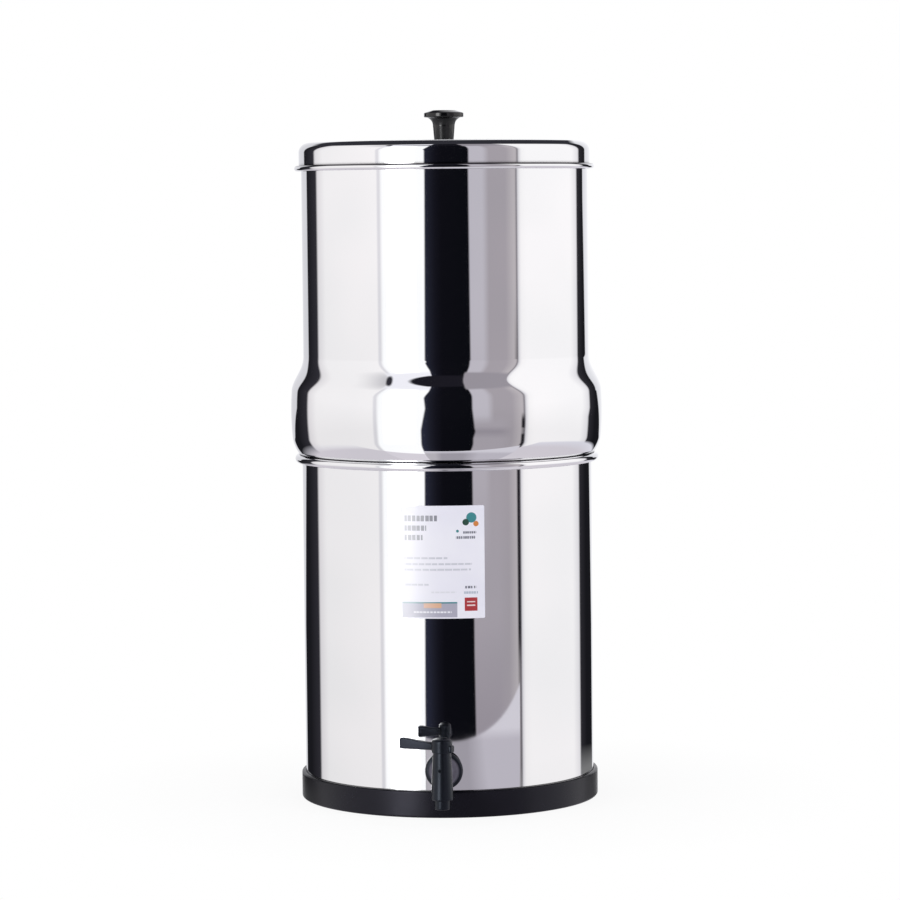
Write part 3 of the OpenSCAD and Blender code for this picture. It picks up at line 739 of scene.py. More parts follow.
cut(tap_body, [
    rod(way_r, (0, -(shank_end_y - 1 * mm), tap_z), (0, -(barrel_y - plug_bore_r / 2), tap_z)),
    rod(plug_bore_r, (0, -barrel_y, plug_floor_z), (0, -barrel_y, barrel_top_z + 1 * mm)),
    rod(nozzle_way_r, (0, -barrel_y, nozzle_z - 1 * mm), (0, -barrel_y, plug_floor_z + 1 * mm)),
    sector("stop_track", stop_in_r, 9 * mm, barrel_top_z - stop_h, barrel_top_z + 1 * mm,
           lever_turn - stop_turn, lever_turn + lever_travel + stop_turn, at_barrel),
    rod(1.2 * mm, (-1.3 * mm, -(barrel_y + 5.9 * mm), tap_z + 6.1 * mm),
        (-1.3 * mm, -(barrel_y + 9 * mm), tap_z + 6.1 * mm), 32)])
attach(tap_body, "lower")
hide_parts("tap_body")

# ----------------------------------------------------------------------- valve plug and o-rings
# The plug turns inside the barrel: its side port meets the shank's water way when the tap is open.
# Two rubber o-rings in its grooves keep the water in. The CAD's own solids are shown.


def dress(node, material):
    """Gives a CAD node's own mesh its finish."""
    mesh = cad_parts[node].data
    mesh.materials.clear()
    mesh.materials.append(material)


dress("tap_plug", white_plastic)
dress("tap_o_ring_lower", rubber)
dress("tap_o_ring_upper", rubber)

# ---------------------------------------------------------------------------------- tap lever
# One moulding that snaps over the barrel's top and drives the plug by a square socket: a domed hub,
# a bar that swells to a squarish finger pad, and a short tail behind the hub.

hub_r = 7.2 * mm
hub_h = 10.4 * mm
hub_top_z = hub_z + hub_h
dome_h = 3 * mm
hub_in_r = barrel_top_r + 2 * fit
roof_z = barrel_top_z + 0.3 * mm
on_lever = at_barrel @ Matrix.Rotation(math.radians(lever_turn), 4, "Z")


def bar_of(name, sections, material, place, corner=6):
    """A closed bar through rounded sections across X: (x, width, low, high, edge radius)."""
    loops = []
    for x, width, low, high, soft in sections:
        reach, bottom, top = width / 2 - soft, low + soft, high - soft
        loops.append([(x, *point) for side, level, start in (
            (reach, top, 0), (-reach, top, 90), (-reach, bottom, 180), (reach, bottom, 270))
            for point in arc((side, level), soft, start, start + 90, corner)])
    return skinned(name, loops, material, place)


hub_outline = (
    [(0, hub_z), (hub_r - 0.4 * mm, hub_z)]
    + rounded(hub_r, hub_z, 0.4 * mm, -90, 4)
    + run((hub_r, hub_z + 0.4 * mm), (hub_r, hub_top_z - dome_h))
    + arc((0, hub_top_z - dome_h), hub_r, 0, 90, 15, tall=dome_h / hub_r))
bar_z = hub_z + 0.8 * mm
lever_shapes = [(x * mm, w * mm, bar_z + low * mm, bar_z + high * mm, soft * mm)
                for x, w, low, high, soft in (
    (0, 5.0, 0.5, 5.7, 1.5), (7, 5.0, 0.5, 5.7, 1.5), (12, 5.0, 0.4, 6.0, 1.5),
    (18, 5.1, 0.3, 6.6, 1.5), (22.5, 5.2, 0.15, 7.3, 1.5), (26, 5.2, 0.05, 7.8, 1.4),
    (28.5, 5.2, 0, 8.0, 1.3), (30.7, 5.2, 0, 8.0, 1.2), (31.4, 5.0, 0.15, 7.85, 1.1),
    (31.8, 4.5, 0.45, 7.55, 0.9), (32, 3.8, 0.9, 7.1, 0.7))]
tail_shapes = [(x * mm, w * mm, hub_z + low * mm, hub_z + high * mm, soft * mm)
               for x, w, low, high, soft in (
    (0, 5.2, 0.2, 5.2, 1.2), (-7.6, 5.2, 0.2, 5.2, 1.2), (-8.15, 4.8, 0.4, 5.0, 1.0),
    (-8.4, 4.2, 0.7, 4.7, 0.8))]
tap_lever = lathe("tap_lever_moulding", hub_outline, tap_plastic, 128, on_lever)
cut(tap_lever, [bar_of("bar", lever_shapes, tap_plastic, on_lever)], "UNION")
cut(tap_lever, [bar_of("tail", tail_shapes, tap_plastic, on_lever)], "UNION")
cavity = lathe("cavity", drum(hub_in_r, hub_z - 1 * mm, roof_z), tap_plastic, 96, on_lever)
cut(cavity, [sector("lug", stop_in_r + 2 * fit, hub_r + 1 * mm, barrel_top_z - stop_h + 0.3 * mm,
                    roof_z + 1 * mm, -stop_turn / 2, stop_turn / 2, on_lever)])
socket_r = 2.82 * mm * math.sqrt(2)
socket = lathe("socket", drum(socket_r, roof_z - 1 * mm, roof_z + 3.5 * mm), tap_plastic, 4,
               on_lever @ Matrix.Rotation(math.radians(45), 4, "Z"))
cut(tap_lever, [cavity, socket])
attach(tap_lever, "lever")
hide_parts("tap_lever")

# ------------------------------------------------------------------------------ upper chamber
# Drawn from the same polished sheet as the lower one. The bulge, its shoulder and the seat are
# spun into the wall, the rim is rolled inwards, and the floor has a hole for each candle's stem.

upper_low, upper_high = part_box("upper_chamber")
seat_z = lower_high.z
upper_r = lower_in_r - 0.7 * mm
upper_mid_r = upper_r - sheet_t / 2
upper_floor_z = upper_low.z
floor_corner_r = 5 * mm
belly_z = seat_z + 30.9 * mm
belly_mid_r = upper_mid_r + 9.3 * mm
belly_r = 200 * mm
belly_low_turn = 5
ledge_turn_r = 1.2 * mm
ledge_mid_z = seat_z + sheet_t / 2
round_r = 25.6 * mm
knee_r = 1.6 * mm
shoulder_z = seat_z + 45.9 * mm
shoulder_h = 25 * mm
rim_roll_r = 1.2 * mm
rim_z = upper_high.z - 1.6 * mm
round_c = (belly_mid_r - belly_r + (belly_r - round_r) * math.cos(math.radians(belly_low_turn)),
           belly_z - (belly_r - round_r) * math.sin(math.radians(belly_low_turn)))
knee_turn = math.degrees(math.asin((round_c[1] - ledge_mid_z - knee_r) / (round_r - knee_r)))
knee_c = (round_c[0] + (round_r - knee_r) * math.cos(math.radians(knee_turn)),
          round_c[1] - (round_r - knee_r) * math.sin(math.radians(knee_turn)))
side_low_z = belly_z - belly_r * math.sin(math.radians(belly_low_turn))


def side_at(z):
    """Middle radius of the bulge's side and shoulder at a height."""
    bulge = belly_mid_r - (z - belly_z) ** 2 / (2 * belly_r)
    share = max(0, min(1, (z - shoulder_z) / shoulder_h))
    return upper_mid_r + (bulge - upper_mid_r) * (1 + math.cos(math.pi * share)) / 2


side_steps = 56
side_zs = [side_low_z + (shoulder_z + shoulder_h - side_low_z) * i / side_steps
           for i in range(1, side_steps + 1)]
upper_path = (
    [(0, upper_floor_z + sheet_t / 2), (0.3 * upper_r, upper_floor_z + sheet_t / 2),
     (upper_r - floor_corner_r - nudge, upper_floor_z + sheet_t / 2)]
    + arc((upper_r - floor_corner_r, upper_floor_z + floor_corner_r),
          floor_corner_r - sheet_t / 2, -90, 0, 10)
    + run((upper_mid_r, upper_floor_z + floor_corner_r), (upper_mid_r, ledge_mid_z - ledge_turn_r))
    + arc((upper_mid_r + ledge_turn_r, ledge_mid_z - ledge_turn_r), ledge_turn_r, 180, 90, 8)
    + arc(knee_c, knee_r, -90, -knee_turn, 8)
    + arc(round_c, round_r, -knee_turn, -belly_low_turn, 22, 1)
    + [(side_at(z), z) for z in side_zs]
    + run((upper_mid_r, shoulder_z + shoulder_h), (upper_mid_r, rim_z))
    + arc((upper_mid_r - rim_roll_r, rim_z), rim_roll_r, 0, 240, 20))
upper_chamber = lathe("upper_chamber_shell", sheet(upper_path, sheet_t), mirror_steel,
                      chamber_steps)
candle_ring_r = 52 * mm
candle_spots = [Matrix.Rotation(math.radians(turn), 4, "Z")
                @ Matrix.Translation((candle_ring_r, 0, 0)) for turn in (45, 135, 225, 315)]
stem_r = 5 * mm
stem_low, stem_high = (Vector((0, 0, upper_floor_z + step)) for step in (-1 * mm, 2 * mm))
cut(upper_chamber, [rod(stem_r + 0.3 * mm, place @ stem_low, place @ stem_high)
                    for place in candle_spots])
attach(upper_chamber, "upper")
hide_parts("upper_chamber")

# ------------------------------------------------------------------------------------ candles
# Four ceramic candles stand on the upper chamber's floor. Each is a fired shell around pressed
# carbon, bonded into a moulded mount, whose hollow threaded stem goes through the floor with a
# rubber washer above it and a wing nut below.

candle_wall = 6 * mm
candle_dome = 12 * mm
shell_low, shell_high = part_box("candle_1_shell")
mount_low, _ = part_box("candle_1_mount")
nut_low, nut_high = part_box("candle_1_wing_nut")
candle_r = 25 * mm
mount_r = candle_r + 1.85 * mm
mount_z = shell_low.z - 5 * mm
stem_way_r = 2.5 * mm
floor_top_z = upper_floor_z + sheet_t


def fired_clay():
    """Unglazed ceramic: chalky, finely pitted, a little darker in slow clouds."""
    material, tree, shader = new_material("fired_ceramic", Specular_IOR_Level=0.3)
    place = object_place(tree)
    clouds = out(tree, "ShaderNodeTexNoise", {"Vector": place, "Scale": 30, "Detail": 5})
    pits = out(tree, "ShaderNodeTexVoronoi", {"Vector": place, "Scale": 900}, "Distance")
    bump = out(tree, "ShaderNodeBump",
               {"Strength": 0.6, "Distance": 0.06 * mm, "Height": pits.ranged(0, 0.35)})
    tone = mixed(tree, clouds.ranged(0.35, 0.65), tint(226, 219, 202), tint(238, 233, 220))
    feed(tree, shader, {"Base Color": tone, "Roughness": clouds.ranged(0.3, 0.7, 0.82, 0.95),
                        "Normal": bump})
    return material


def pressed_carbon():
    """Pressed carbon: dull black with a fine sparkle of grains."""
    material, tree, shader = new_material("pressed_carbon", Specular_IOR_Level=0.4)
    grains = out(tree, "ShaderNodeTexVoronoi", {"Vector": object_place(tree), "Scale": 1400},
                 "Distance")
    tone = mixed(tree, grains.ranged(0, 0.5), tint(34, 34, 36), tint(18, 18, 19))
    bump = out(tree, "ShaderNodeBump",
               {"Strength": 0.7, "Distance": 0.1 * mm, "Height": grains})
    feed(tree, shader, {"Base Color": tone, "Roughness": grains.ranged(0, 1, 0.6, 0.9),
                        "Normal": bump})
    return material


def wing_tree():
    """Sets copies of a wing around an upright axis and joins them into one mesh."""
    tree, given, made = node_group(
        "wings", "GeometryNodeTree",
        {"Wing": "Geometry", "Count": "Int", "Material": "Material"}, {"Wings": "Geometry"})
    spots = out(tree, "GeometryNodeMeshLine", {"Count": given["Count"], "Offset": (0, 0, 0)})
    turn = out(tree, "GeometryNodeInputIndex") / given["Count"] * math.tau
    copies = out(tree, "GeometryNodeInstanceOnPoints",
                 {"Points": spots, "Instance": given["Wing"], "Rotation": joined(tree, 0, 0, turn)})
    feed(tree, made, {0: real_skin(tree, copies, given["Material"])})
    return tree


ceramic = fired_clay()
carbon = pressed_carbon()
wing_nodes = wing_tree()
shell_in_r = candle_r - candle_wall
dome_z = shell_high.z - candle_dome
shell_outline = (
    [(shell_in_r, shell_low.z), (candle_r, shell_low.z), (candle_r, dome_z - nudge)]
    + arc((0, dome_z), candle_r, 0, 90, 18, tall=candle_dome / candle_r)
    + arc((0, dome_z - candle_wall), shell_in_r, 90, 0, 15,
          tall=candle_dome / shell_in_r))
collar_top = shell_low.z + 12 * mm
mount_outline = (
    [(stem_way_r, mount_low.z), (stem_r - 0.8 * mm, mount_low.z)]
    + threaded(stem_r, mount_low.z + 0.6 * mm, mount_low.z + 17 * mm, 1.5 * mm)
    + [(stem_r, mount_z)]
    + rounded(mount_r, mount_z, 0.8 * mm, -90, 5)
    + rounded(mount_r, collar_top, 0.6 * mm, 0, 5)
    + [(candle_r + fit, collar_top), (candle_r + fit, shell_low.z), (stem_way_r, shell_low.z)])
nut_r = stem_r + 3.5 * mm
nut_flange_r = nut_r + 2 * mm
nut_flange_t = 2 * mm
nut_outline = (
    [(stem_r + fit + 0.5 * mm, nut_low.z), (nut_r - 0.6 * mm, nut_low.z)]
    + rounded(nut_r, nut_low.z, 0.6 * mm, -90, 4)
    + [(nut_r, nut_high.z - nut_flange_t - 0.6 * mm)]
    + arc((nut_r + 0.6 * mm, nut_high.z - nut_flange_t - 0.6 * mm), 0.6 * mm, 180, 90, 4, 1)
    + rounded(nut_flange_r, nut_high.z - nut_flange_t, 0.5 * mm, -90, 4)
    + rounded(nut_flange_r, nut_high.z, 0.5 * mm, 0, 4)
    + [(stem_r + fit, nut_high.z), (stem_r + fit, nut_low.z + 0.5 * mm)])
stem_seal_r = 14 * mm
stem_seal_outline = ring_outline(stem_r + fit, stem_seal_r, floor_top_z, mount_z, 0.5 * mm)
wing_top = nut_high.z - 1 * mm
wing_shapes = [(x * mm, w * mm, nut_low.z + low * mm, wing_top - drop * mm, soft * mm)
               for x, w, low, drop, soft in (
                   (6.5, 3.2, 0.2, 0.6, 0.9), (10, 3.0, 0.2, 1.6, 0.9), (13.5, 2.8, 0.1, 0.8, 0.9),
                   (16, 3.0, 0.1, 0.1, 1.0), (17.3, 2.8, 0.7, 0.7, 1.0), (18, 2.2, 2, 2, 0.8))]
for number, place in enumerate(candle_spots, 1):
    name = f"candle_{number}"
    shell = lathe(name + "_ceramic", shell_outline, ceramic, 96, place)
    mount = lathe(name + "_holder", mount_outline, white_plastic, 72, place, Pitch=1.5 * mm,
                  Depth=0.8 * mm)
    washer = lathe(name + "_seal", stem_seal_outline, rubber, 72, place)
    nut = lathe(name + "_nut", nut_outline, white_plastic, 72, place)
    wing = bar_of("wing", wing_shapes, white_plastic, Matrix.Identity(4))
    wings = grow("wings", wing_nodes, wing.data, {"Count": 2, "Material": white_plastic})
    wings.data.transform(place)
    bpy.data.objects.remove(wing)
    face_out(wings)
    cut(nut, [wings], "UNION")
    dress(name + "_core", carbon)
    for piece, node, finish in ((shell, "_shell", "ceramic"), (mount, "_mount", "white_plastic"),
                                (washer, "_washer", "rubber"), (nut, "_wing_nut", "white_plastic")):
        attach(piece, "upper")
        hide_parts(name + node)

# ---------------------------------------------------------------------------------------- lid
# A loose cover of thinner polished sheet, slightly crowned. Its skirt hangs outside the upper
# chamber's rim and ends in a small roll, and the groove above the roll is painted with a dark line
# of shade. Its top is satin, and a flat in its middle carries the knob.

_, lid_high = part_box("lid")
lid_t = 0.7 * mm
lid_corner_r = 7 * mm
lid_r = upper_r + 1.7 * mm
lid_mid_r = lid_r - lid_t / 2
lid_roll_r = 1.65 * mm
lid_top_z = lid_high.z
lid_crown = 1.2 * mm
lid_edge_z = lid_top_z - lid_crown
lid_corner_z = lid_edge_z - lid_corner_r
lid_roll_z = lid_edge_z - 18.2 * mm
knob_foot_r = 7.1 * mm
lid_flat_r = knob_foot_r + 2 * mm
lid_flat_edge = lid_r - lid_corner_r
crown_steps = 24
crown = []
for i in range(crown_steps):
    share = i / crown_steps
    crown.append((lid_flat_r + (lid_flat_edge - lid_flat_r) * share,
                  lid_edge_z + lid_crown * (1 - share ** 2) - lid_t / 2))
screw_hole_r = 2.3 * mm
lid_path = (
    [(screw_hole_r, lid_top_z - lid_t / 2)] + crown
    + arc((lid_flat_edge, lid_corner_z), lid_corner_r - lid_t / 2, 90, 0, 18)
    + run((lid_mid_r, lid_corner_z), (lid_mid_r, lid_roll_z))
    + arc((lid_mid_r + lid_roll_r, lid_roll_z), lid_roll_r, 180, 475, 34))
# painted shade: the lid's grooves are darkened over a wider share of shut sky than the chambers'
lid_steel = steel("lid_steel", shade_share=(0.42, 0.92))
tree = lid_steel.node_tree
shader = tree.nodes["Principled BSDF"]
x, y, z = split(tree, object_place(tree))
# painted shade: a dark line painted along the groove just above the roll
groove_shade = (z - (lid_roll_z + 1.8 * mm)).maths("ABSOLUTE").ranged(0.65 * mm, 0.3 * mm)
satin = (length(tree, joined(tree, x, y)).ranged(lid_flat_edge, lid_flat_edge - 5 * mm)
         * z.ranged(lid_edge_z - 0.5 * mm, lid_edge_z))
feed(tree, shader, {
    "Base Color": mixed(tree, groove_shade, source(shader, "Base Color"), tint(74, 70, 74)),
    "Metallic": 1 - satin * 0.6,
    "Roughness": (satin * 0.42).maths("MAXIMUM", source(shader, "Roughness"))})
lid = lathe("lid_shell", sheet(lid_path, lid_t), lid_steel, chamber_steps)
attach(lid, "lid")
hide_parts("lid")

# ----------------------------------------------------------------------- lid knob and its screw
# A gloss black moulded knob, which flares from its foot to a bevelled top. It stands on the flat
# in the lid's middle, held from inside by a cross-slotted pan head screw of turned steel and a
# steel washer.

knob_low, knob_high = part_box("lid_knob")
knob_r = knob_high.x
knob_soft = 0.8 * mm
knob_top_r = 8.5 * mm
knob_bevel_h = 1.6 * mm
knob_edge_top = knob_high.z - knob_bevel_h
knob_edge_low = knob_edge_top - 3.4 * mm
knob_flare_h = 6 * mm
knob_neck_r = knob_foot_r + 0.8 * mm
knob_flare = knob_r - knob_soft - knob_neck_r
knob_bevel = math.degrees(math.atan((knob_r - knob_soft - knob_top_r) / knob_bevel_h))
screw_r = 2 * mm
knob_lip = 0.6 * mm
lip_back = knob_lip * math.tan(math.radians((90 - knob_bevel) / 2))
edge_lip = arc((knob_r - knob_soft, knob_edge_top - knob_soft), knob_soft, 0, knob_bevel, 6)
top_lip = arc((knob_top_r - lip_back, knob_high.z - knob_lip), knob_lip, knob_bevel, 90, 5)
knob_outline = (
    [(screw_r + fit, knob_low.z), (knob_foot_r - 0.5 * mm, knob_low.z)]
    + rounded(knob_foot_r, knob_low.z, 0.5 * mm, -90, 5)
    + run((knob_foot_r, knob_low.z + 0.5 * mm), (knob_neck_r, knob_edge_low - knob_flare_h))
    + arc((knob_neck_r + knob_flare, knob_edge_low - knob_flare_h), knob_flare, 180, 90, 15,
          tall=knob_flare_h / knob_flare)
    + rounded(knob_r, knob_edge_low, knob_soft, -90, 6, 1)
    + edge_lip + run(edge_lip[-1], top_lip[0]) + top_lip
    + [(top_lip[-1][0] - nudge, knob_high.z), (0, knob_high.z), (0, knob_low.z + 11 * mm),
       (screw_r + fit, knob_low.z + 11 * mm)])
gloss_black = moulding("gloss_black", tint(9, 9, 11), tint(13, 13, 15), 0.08, shine=0.35, coat=0.25,
                       grain=3 * mm, depth=0.004 * mm)
knob = lathe("lid_knob_moulding", knob_outline, gloss_black, 128)
screw_steel = steel("turned_steel", tint(196, 197, 198), tint(208, 208, 208), 0.24,
                    0.25 * mm, 0.002 * mm, 0)
lid_under_z = lid_top_z - lid_t
washer_t = 1 * mm
head_z = lid_under_z - washer_t
lid_washer = lathe("lid_plate_washer", ring_outline(screw_hole_r, lid_flat_r - 3 * mm, head_z,
                                                    lid_under_z, 0.2 * mm), screw_steel, 96)
head_h = 2.6 * mm
head_r = 3.6 * mm
head_dome = 1.6 * mm
screw_outline = (
    [(0, head_z - head_h)]
    + arc((0, head_z - head_h + head_dome), head_r, -90, 0, 9, 1, tall=head_dome / head_r)
    + [(head_r, head_z), (screw_r, head_z)]
    + threaded(screw_r, head_z + 2 * mm, head_z + 11.2 * mm, 0.7 * mm)
    + [(screw_r - 0.6 * mm, head_z + 12 * mm), (0, head_z + 12 * mm)])
lid_screw = lathe("lid_pan_screw", screw_outline, screw_steel, 64, Pitch=0.7 * mm, Depth=0.4 * mm)
slot_w = 0.9 * mm
slot_shapes = [(x, slot_w, head_z - head_h - 1 * mm, head_z - head_h + 1.3 * mm, 0.1 * mm)
               for x in (-head_r / 2, head_r / 2)]
for turn in (0, 90):
    cut(lid_screw, [bar_of("slot", slot_shapes, screw_steel,
                           Matrix.Rotation(math.radians(turn), 4, "Z"))])
for piece, node, finish in ((knob, "lid_knob", "knob_plastic"),
                            (lid_washer, "lid_washer", "screw_steel"),
                            (lid_screw, "lid_screw", "screw_steel")):
    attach(piece, "lid")
    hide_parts(node)

# ------------------------------------------------------------------------- floor, light, camera
# A white sweep under soft boxes. The boxes and the dark gaps between them are seen in the steel
# alone: every other ray meets the same pale light from all around.

camera_turn = 2.2          # degrees from the front, to the right


def either(tree, share, first, second):
    """The first shader where the share is 0, the second where it is 1."""
    return out(tree, "ShaderNodeMixShader", {0: share, 1: first, 2: second})


world = bpy.data.worlds.new("studio")
bpy.context.scene.world = world
tree = bare_tree(world)
degrees = 180 / math.pi
x, y, z = split(tree, out(tree, "ShaderNodeTexCoord", output="Generated"))
bearing = x.maths("ARCTAN2", y * -1) * degrees
level = z.maths("ARCSINE") * degrees
# soft boxes: degrees round the filter from the camera, and the colour there
boxes = (
    (-180, 25, 25, 30), (-145, 26, 26, 30), (-126, 47, 46, 52), (-123.5, 220, 217, 219),
    (-112, 240, 238, 238), (-56, 246, 243, 243), (-55, 222, 220, 224), (-52.6, 220, 218, 222),
    (-51.8, 255, 255, 255), (-5, 255, 255, 255), (-4.5, 187, 183, 191), (30, 187, 183, 191),
    (35, 163, 157, 163), (49, 163, 157, 163), (57, 185, 179, 182), (58, 182, 176, 179),
    (58.6, 122, 118, 124), (59.4, 126, 122, 128), (60.6, 222, 220, 224), (63, 246, 244, 244),
    (68, 250, 248, 248), (119, 250, 248, 248), (130, 225, 223, 226), (132, 44, 43, 48),
    (145, 24, 24, 28), (180, 24, 24, 28))
behind = ((-180, 222, 222, 226), (-160, 206, 206, 210), (-120, 206, 206, 210), (120, 212, 212, 216),
          (150, 216, 216, 220), (180, 240, 240, 242))
gap = ((-16.8, 38, 40, 55), (-12, 28, 29, 39), (-8, 19, 19, 27), (-3, 13, 13, 19), (17, 11, 12, 17))


def colours_round(turned, table):
    """A colour by bearing, from a table of degrees and display colours."""
    ramp = add(tree, "ShaderNodeValToRGB", {0: turned.ranged(-180, 180)})
    stops = ramp.color_ramp.elements
    stops.remove(stops[-1])
    for i, (turn, *colour) in enumerate(table):
        stop = stops.new((turn + 180) / 360) if i else stops[0]
        stop.position = (turn + 180) / 360
        stop.color = tint(*colour)
    return ramp.outputs[0]


turned = (bearing - camera_turn).maths("WRAP", 180, -180)
skew = level.ranged(-2.6, -4.2, -1.1, 1.6) * turned.ranged(90, 125)
lilac_low = level.ranged(-6.6, -8.6) * level.ranged(-11.5, -8.9)
pale_part = level.ranged(-7.05, -7.45, 0, 0.55) * level.ranged(-9.8, -9.2)
back_left = turned * -1 - level.ranged(-6.8, -2.7, 15, 0)
back_right = turned - level.ranged(-6.8, 0, 15, 0)
left_lean = level.ranged(1, -8, 0.3, -3) + (level.ranged(6, 34, 0, 2.2)
                                            - level.ranged(0.4, 5, 0, 0.9))
right_lean = (level.ranged(0.5, -6.8, 0.6, 2.1) + level.ranged(-7.2, -8.6, 0, 0.7)
              - level.ranged(-8.8, -11.5, 0, 1.4))
front = y.ranged(0.2, 0.14)
right_side = turned.ranged(16, 18)
rise = level + turned.ranged(-57, -17, -6.4, 0)
aside = (turned + 55 + (level - 45.5) * 0.66) / 4.2
aloft = (level - 51) / 7
# how far the surface that shows this part of the sky to the camera leans back, 0 to 1
steep = z / (2 - y * 2).maths("MAXIMUM", 0.0001).maths("SQRT")
aslant = x.maths("ABSOLUTE") / (1.001 - y)
table = (level.ranged(-12.5, -15.5) * turned.ranged(-8, -2)).maths(
    "MAXIMUM", level.ranged(-15, -28)) * (y * 1.02 - z).ranged(-0.02, 0.02)
# each layer's share of the sky, and its colour; a later one lies over the others
layers = (
    # the lilac glow low on the right, the pale top of the left box, the line by the right box
    (level.ranged(-2.2, -6) * (turned.ranged(-4.5, -4) * turned.ranged(50, 40)),
     mixed(tree, lilac_low, tint(168, 162, 169), tint(152, 146, 154))),
    (level.ranged(36, 44) * (turned.ranged(-62, -56) * turned.ranged(0, -4)), tint(240, 239, 245)),
    (turned.ranged(56, 57.5) * turned.ranged(60.4, 58.7) * (level.ranged(-1.6, -4.2) - pale_part),
     tint(32, 31, 36)),
    # the room behind the filter, and the dark gap between the front boxes
    (back_left.ranged(145.5, 147.5).maths("MAXIMUM", back_right.ranged(146, 148)),
     colours_round(turned, behind)),
    ((turned - left_lean).ranged(-16.5, -15.3) * (turned - right_lean).ranged(18.9, 17.5),
     colours_round(turned, gap)),
    # high up: the grey on the right, the dark lens above the gap, shade and a spot on the left
    (level.ranged(37.5, 43.5) * (right_side * turned.ranged(60.5, 59.8)) * front,
     tint(150, 145, 152)),
    (rise.ranged(47.8, 49.2) * level.ranged(56, 55) * (1 - right_side) * front, tint(27, 26, 33)),
    (level.ranged(32, 46) * (turned.ranged(-88, -62) * turned.ranged(-55, -58)) * front,
     tint(203, 201, 204)),
    ((aside * aside + aloft * aloft).maths("SQRT").ranged(1.12, 0.68), tint(48, 47, 54)),
    # the dark ceiling, the pale wall behind its end, and the table
    (steep.ranged(0.53, 0.57) * steep.ranged(0.975, 0.95) * aslant.ranged(2.3, 1.8),
     tint(45, 45, 51)),
    (steep.ranged(0.95, 0.975), tint(232, 232, 236)),
    (table, mixed(tree, level.ranged(-15, -26), tint(222, 221, 230), tint(212, 207, 214))))
mirror = colours_round(turned + skew, boxes)
for share, colour in layers:
    mirror = mixed(tree, share, mirror, colour)
hot = (turned.ranged(-48, -42) * turned.ranged(-23, -28)
       * (level.ranged(-14, -8) * level.ranged(40, 34)))
front_box = turned.ranged(-52.4, -51.4) * turned.ranged(-4, -5)
strength = hot.ranged(0, 1, 1, 5) * (front_box.maths("MAXIMUM", level.ranged(-8, 1)) * 0.11 + 1.14)
kind = outputs_of(tree, add(tree, "ShaderNodeLightPath"))
camera_sky, mirror_sky, soft_sky = (
    out(tree, "ShaderNodeBackground", {"Color": colour, "Strength": power})
    for colour, power in (((1, 1, 1, 1), 1), (mirror, strength), (tint(246, 246, 250), 0.75)))
mirrored = kind["Is Glossy Ray"].maths("MAXIMUM", kind["Is Transmission Ray"])
sky = either(tree, kind["Is Camera Ray"], either(tree, mirrored, soft_sky, mirror_sky), camera_sky)
add(tree, "ShaderNodeOutputWorld", {"Surface": sky})

reach = 5                  # metres from the filter to the floor's sides
floor_mesh = bpy.data.meshes.new("studio_floor")
corners = ((-reach, -reach, 0), (reach, -reach, 0), (reach, reach, 0), (-reach, reach, 0))
floor_mesh.from_pydata(corners, [], [(0, 1, 2, 3)])
floor = link("studio_floor", floor_mesh)
sweep = bpy.data.materials.new("white_sweep")
tree = bare_tree(sweep)
paint = out(tree, "ShaderNodeBsdfDiffuse", {"Color": (0.9, 0.9, 0.9, 1)})
glow = out(tree, "ShaderNodeEmission", {"Color": (1, 1, 1, 1), "Strength": 1})
kind = outputs_of(tree, add(tree, "ShaderNodeLightPath"))
spot = object_place(tree)
from_axis = length(tree, spot)
seen = either(tree, from_axis.ranged(0.12, 0.3, 0.9, 1), paint, glow)
x, y, z = split(tree, spot)
turned = x.maths("ARCTAN2", y * -1) * degrees - camera_turn
# painted reflection: to glossy rays the floor near the filter glows as a lilac table, with painted
# shade darker just in front of the tap and paler further away
table_tone = mixed(tree, turned.ranged(12, 24), tint(158, 154, 162), tint(186, 182, 191))
table_tone = mixed(tree, turned.ranged(-9, -4), tint(182, 178, 184), table_tone)
table_tone = mixed(tree, kind["Ray Length"].ranged(0.36, 0.42), table_tone, tint(208, 205, 213))
table = out(tree, "ShaderNodeEmission", {"Color": table_tone, "Strength": 1.2})


def beyond(place, start, angle, soft):
    """How far a floor point lies inside a straight edge through a point, 0 to 1 over a soft strip.
    The edge runs at an angle to the camera's left and right, in degrees."""
    turn, spot = math.radians(angle + camera_turn), math.radians(camera_turn)
    inward = Vector((-math.sin(turn), math.cos(turn), 0))
    along = out(tree, "ShaderNodeVectorMath", {0: place, 1: inward}, "Value",
                operation="DOT_PRODUCT")
    home = Vector((start[0] * math.cos(spot) - start[1] * math.sin(spot),
                   start[0] * math.sin(spot) + start[1] * math.cos(spot), 0))
    return along.ranged(home.dot(inward) - soft, home.dot(inward) + soft)


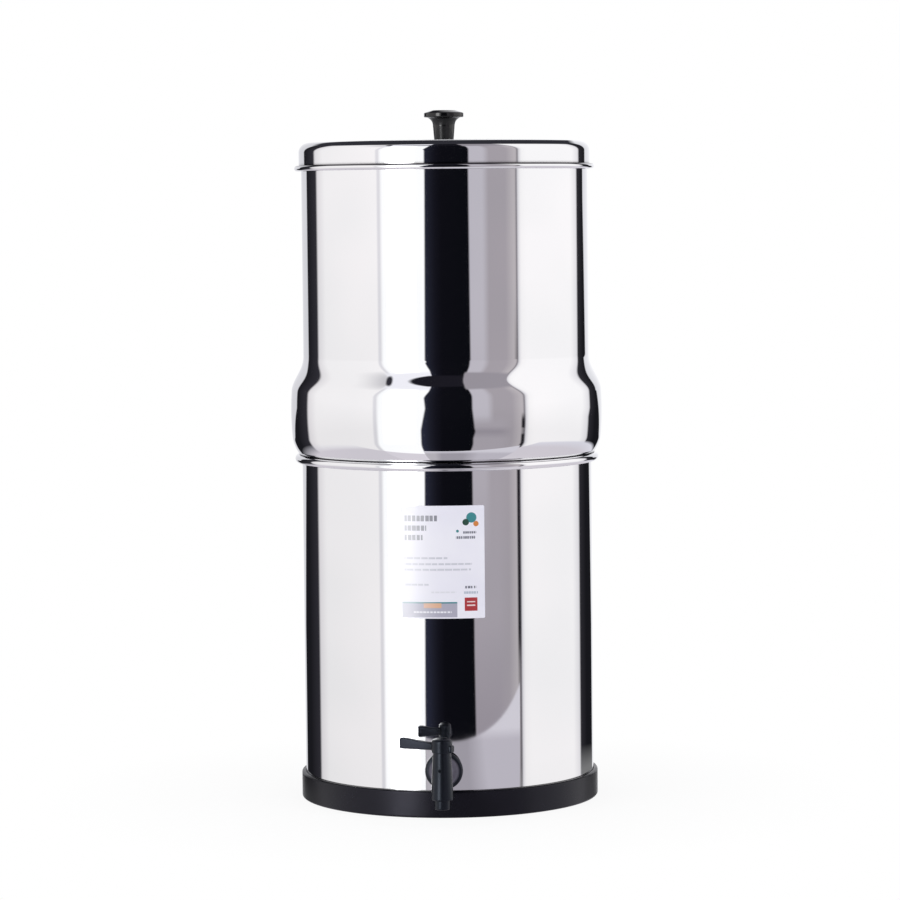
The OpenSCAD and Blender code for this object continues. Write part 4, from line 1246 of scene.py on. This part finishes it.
corner = (beyond(spot, (0, -0.456), 0, 0.006)
          * (beyond(spot, (0.0493, -0.0949), 148.06, 0.002)
             * beyond(spot, (-0.0166, -0.1033), -108.6, 0.002)))
near = (from_axis - x * 0.3).ranged(0.235, 0.15, 0, 0.2)
pale = either(tree, near, out(tree, "ShaderNodeBsdfTransparent"), glow)
others = either(tree, kind["Is Glossy Ray"], paint, either(tree, corner, pale, table))
surface = either(tree, kind["Is Camera Ray"], others, seen)
add(tree, "ShaderNodeOutputMaterial", {"Surface": surface})
floor.data.materials.append(sweep)
lamp_aim_z = 0.22


def soft_lamp(name, place, size, power):
    """A large soft lamp aimed at the filter's middle, which the steel doesn't show."""
    lamp = bpy.data.lights.new(name, "AREA")
    lamp.shape = "RECTANGLE"
    lamp.size, lamp.size_y = size
    lamp.energy = power
    piece = bpy.data.objects.new(name, lamp)
    piece.location = place
    aim = Vector((0, 0, lamp_aim_z)) - Vector(place)
    piece.rotation_euler = aim.to_track_quat("-Z", "Y").to_euler()
    piece.visible_glossy = False
    bpy.context.scene.collection.objects.link(piece)


soft_lamp("left_box", (-1.3, -1.1, 0.9), (0.9, 1.4), 9)
soft_lamp("right_box", (1.5, -0.5, 0.9), (0.9, 1.4), 6)

camera_data = bpy.data.cameras.new("camera")
sensor_w, focal_px, picture_px = 36, 3571.5, 900
camera_data.sensor_width = sensor_w
camera_data.lens = sensor_w * focal_px / picture_px
camera = bpy.data.objects.new("camera", camera_data)
spot = math.radians(camera_turn)
distance, camera_z = 2.582, 0.4319
pitch, roll, yaw = math.radians(4.013), math.radians(0.549), math.radians(0.0495)
ahead = Vector((-math.sin(spot), math.cos(spot), 0))
ahead.rotate(Matrix.Rotation(-yaw, 3, "Z"))
side = ahead.cross(Vector((0, 0, 1)))
forward = ahead * math.cos(pitch) - Vector((0, 0, math.sin(pitch)))
up = side.cross(forward)
right = side * math.cos(roll) - up * math.sin(roll)
up = side * math.sin(roll) + up * math.cos(roll)
pose = Matrix((right, up, -forward)).transposed().to_4x4()
pose.translation = (distance * math.sin(spot), -distance * math.cos(spot), camera_z)
camera.matrix_world = pose
bpy.context.scene.collection.objects.link(camera)
bpy.context.scene.camera = camera
bpy.context.scene.view_settings.view_transform = "Standard"
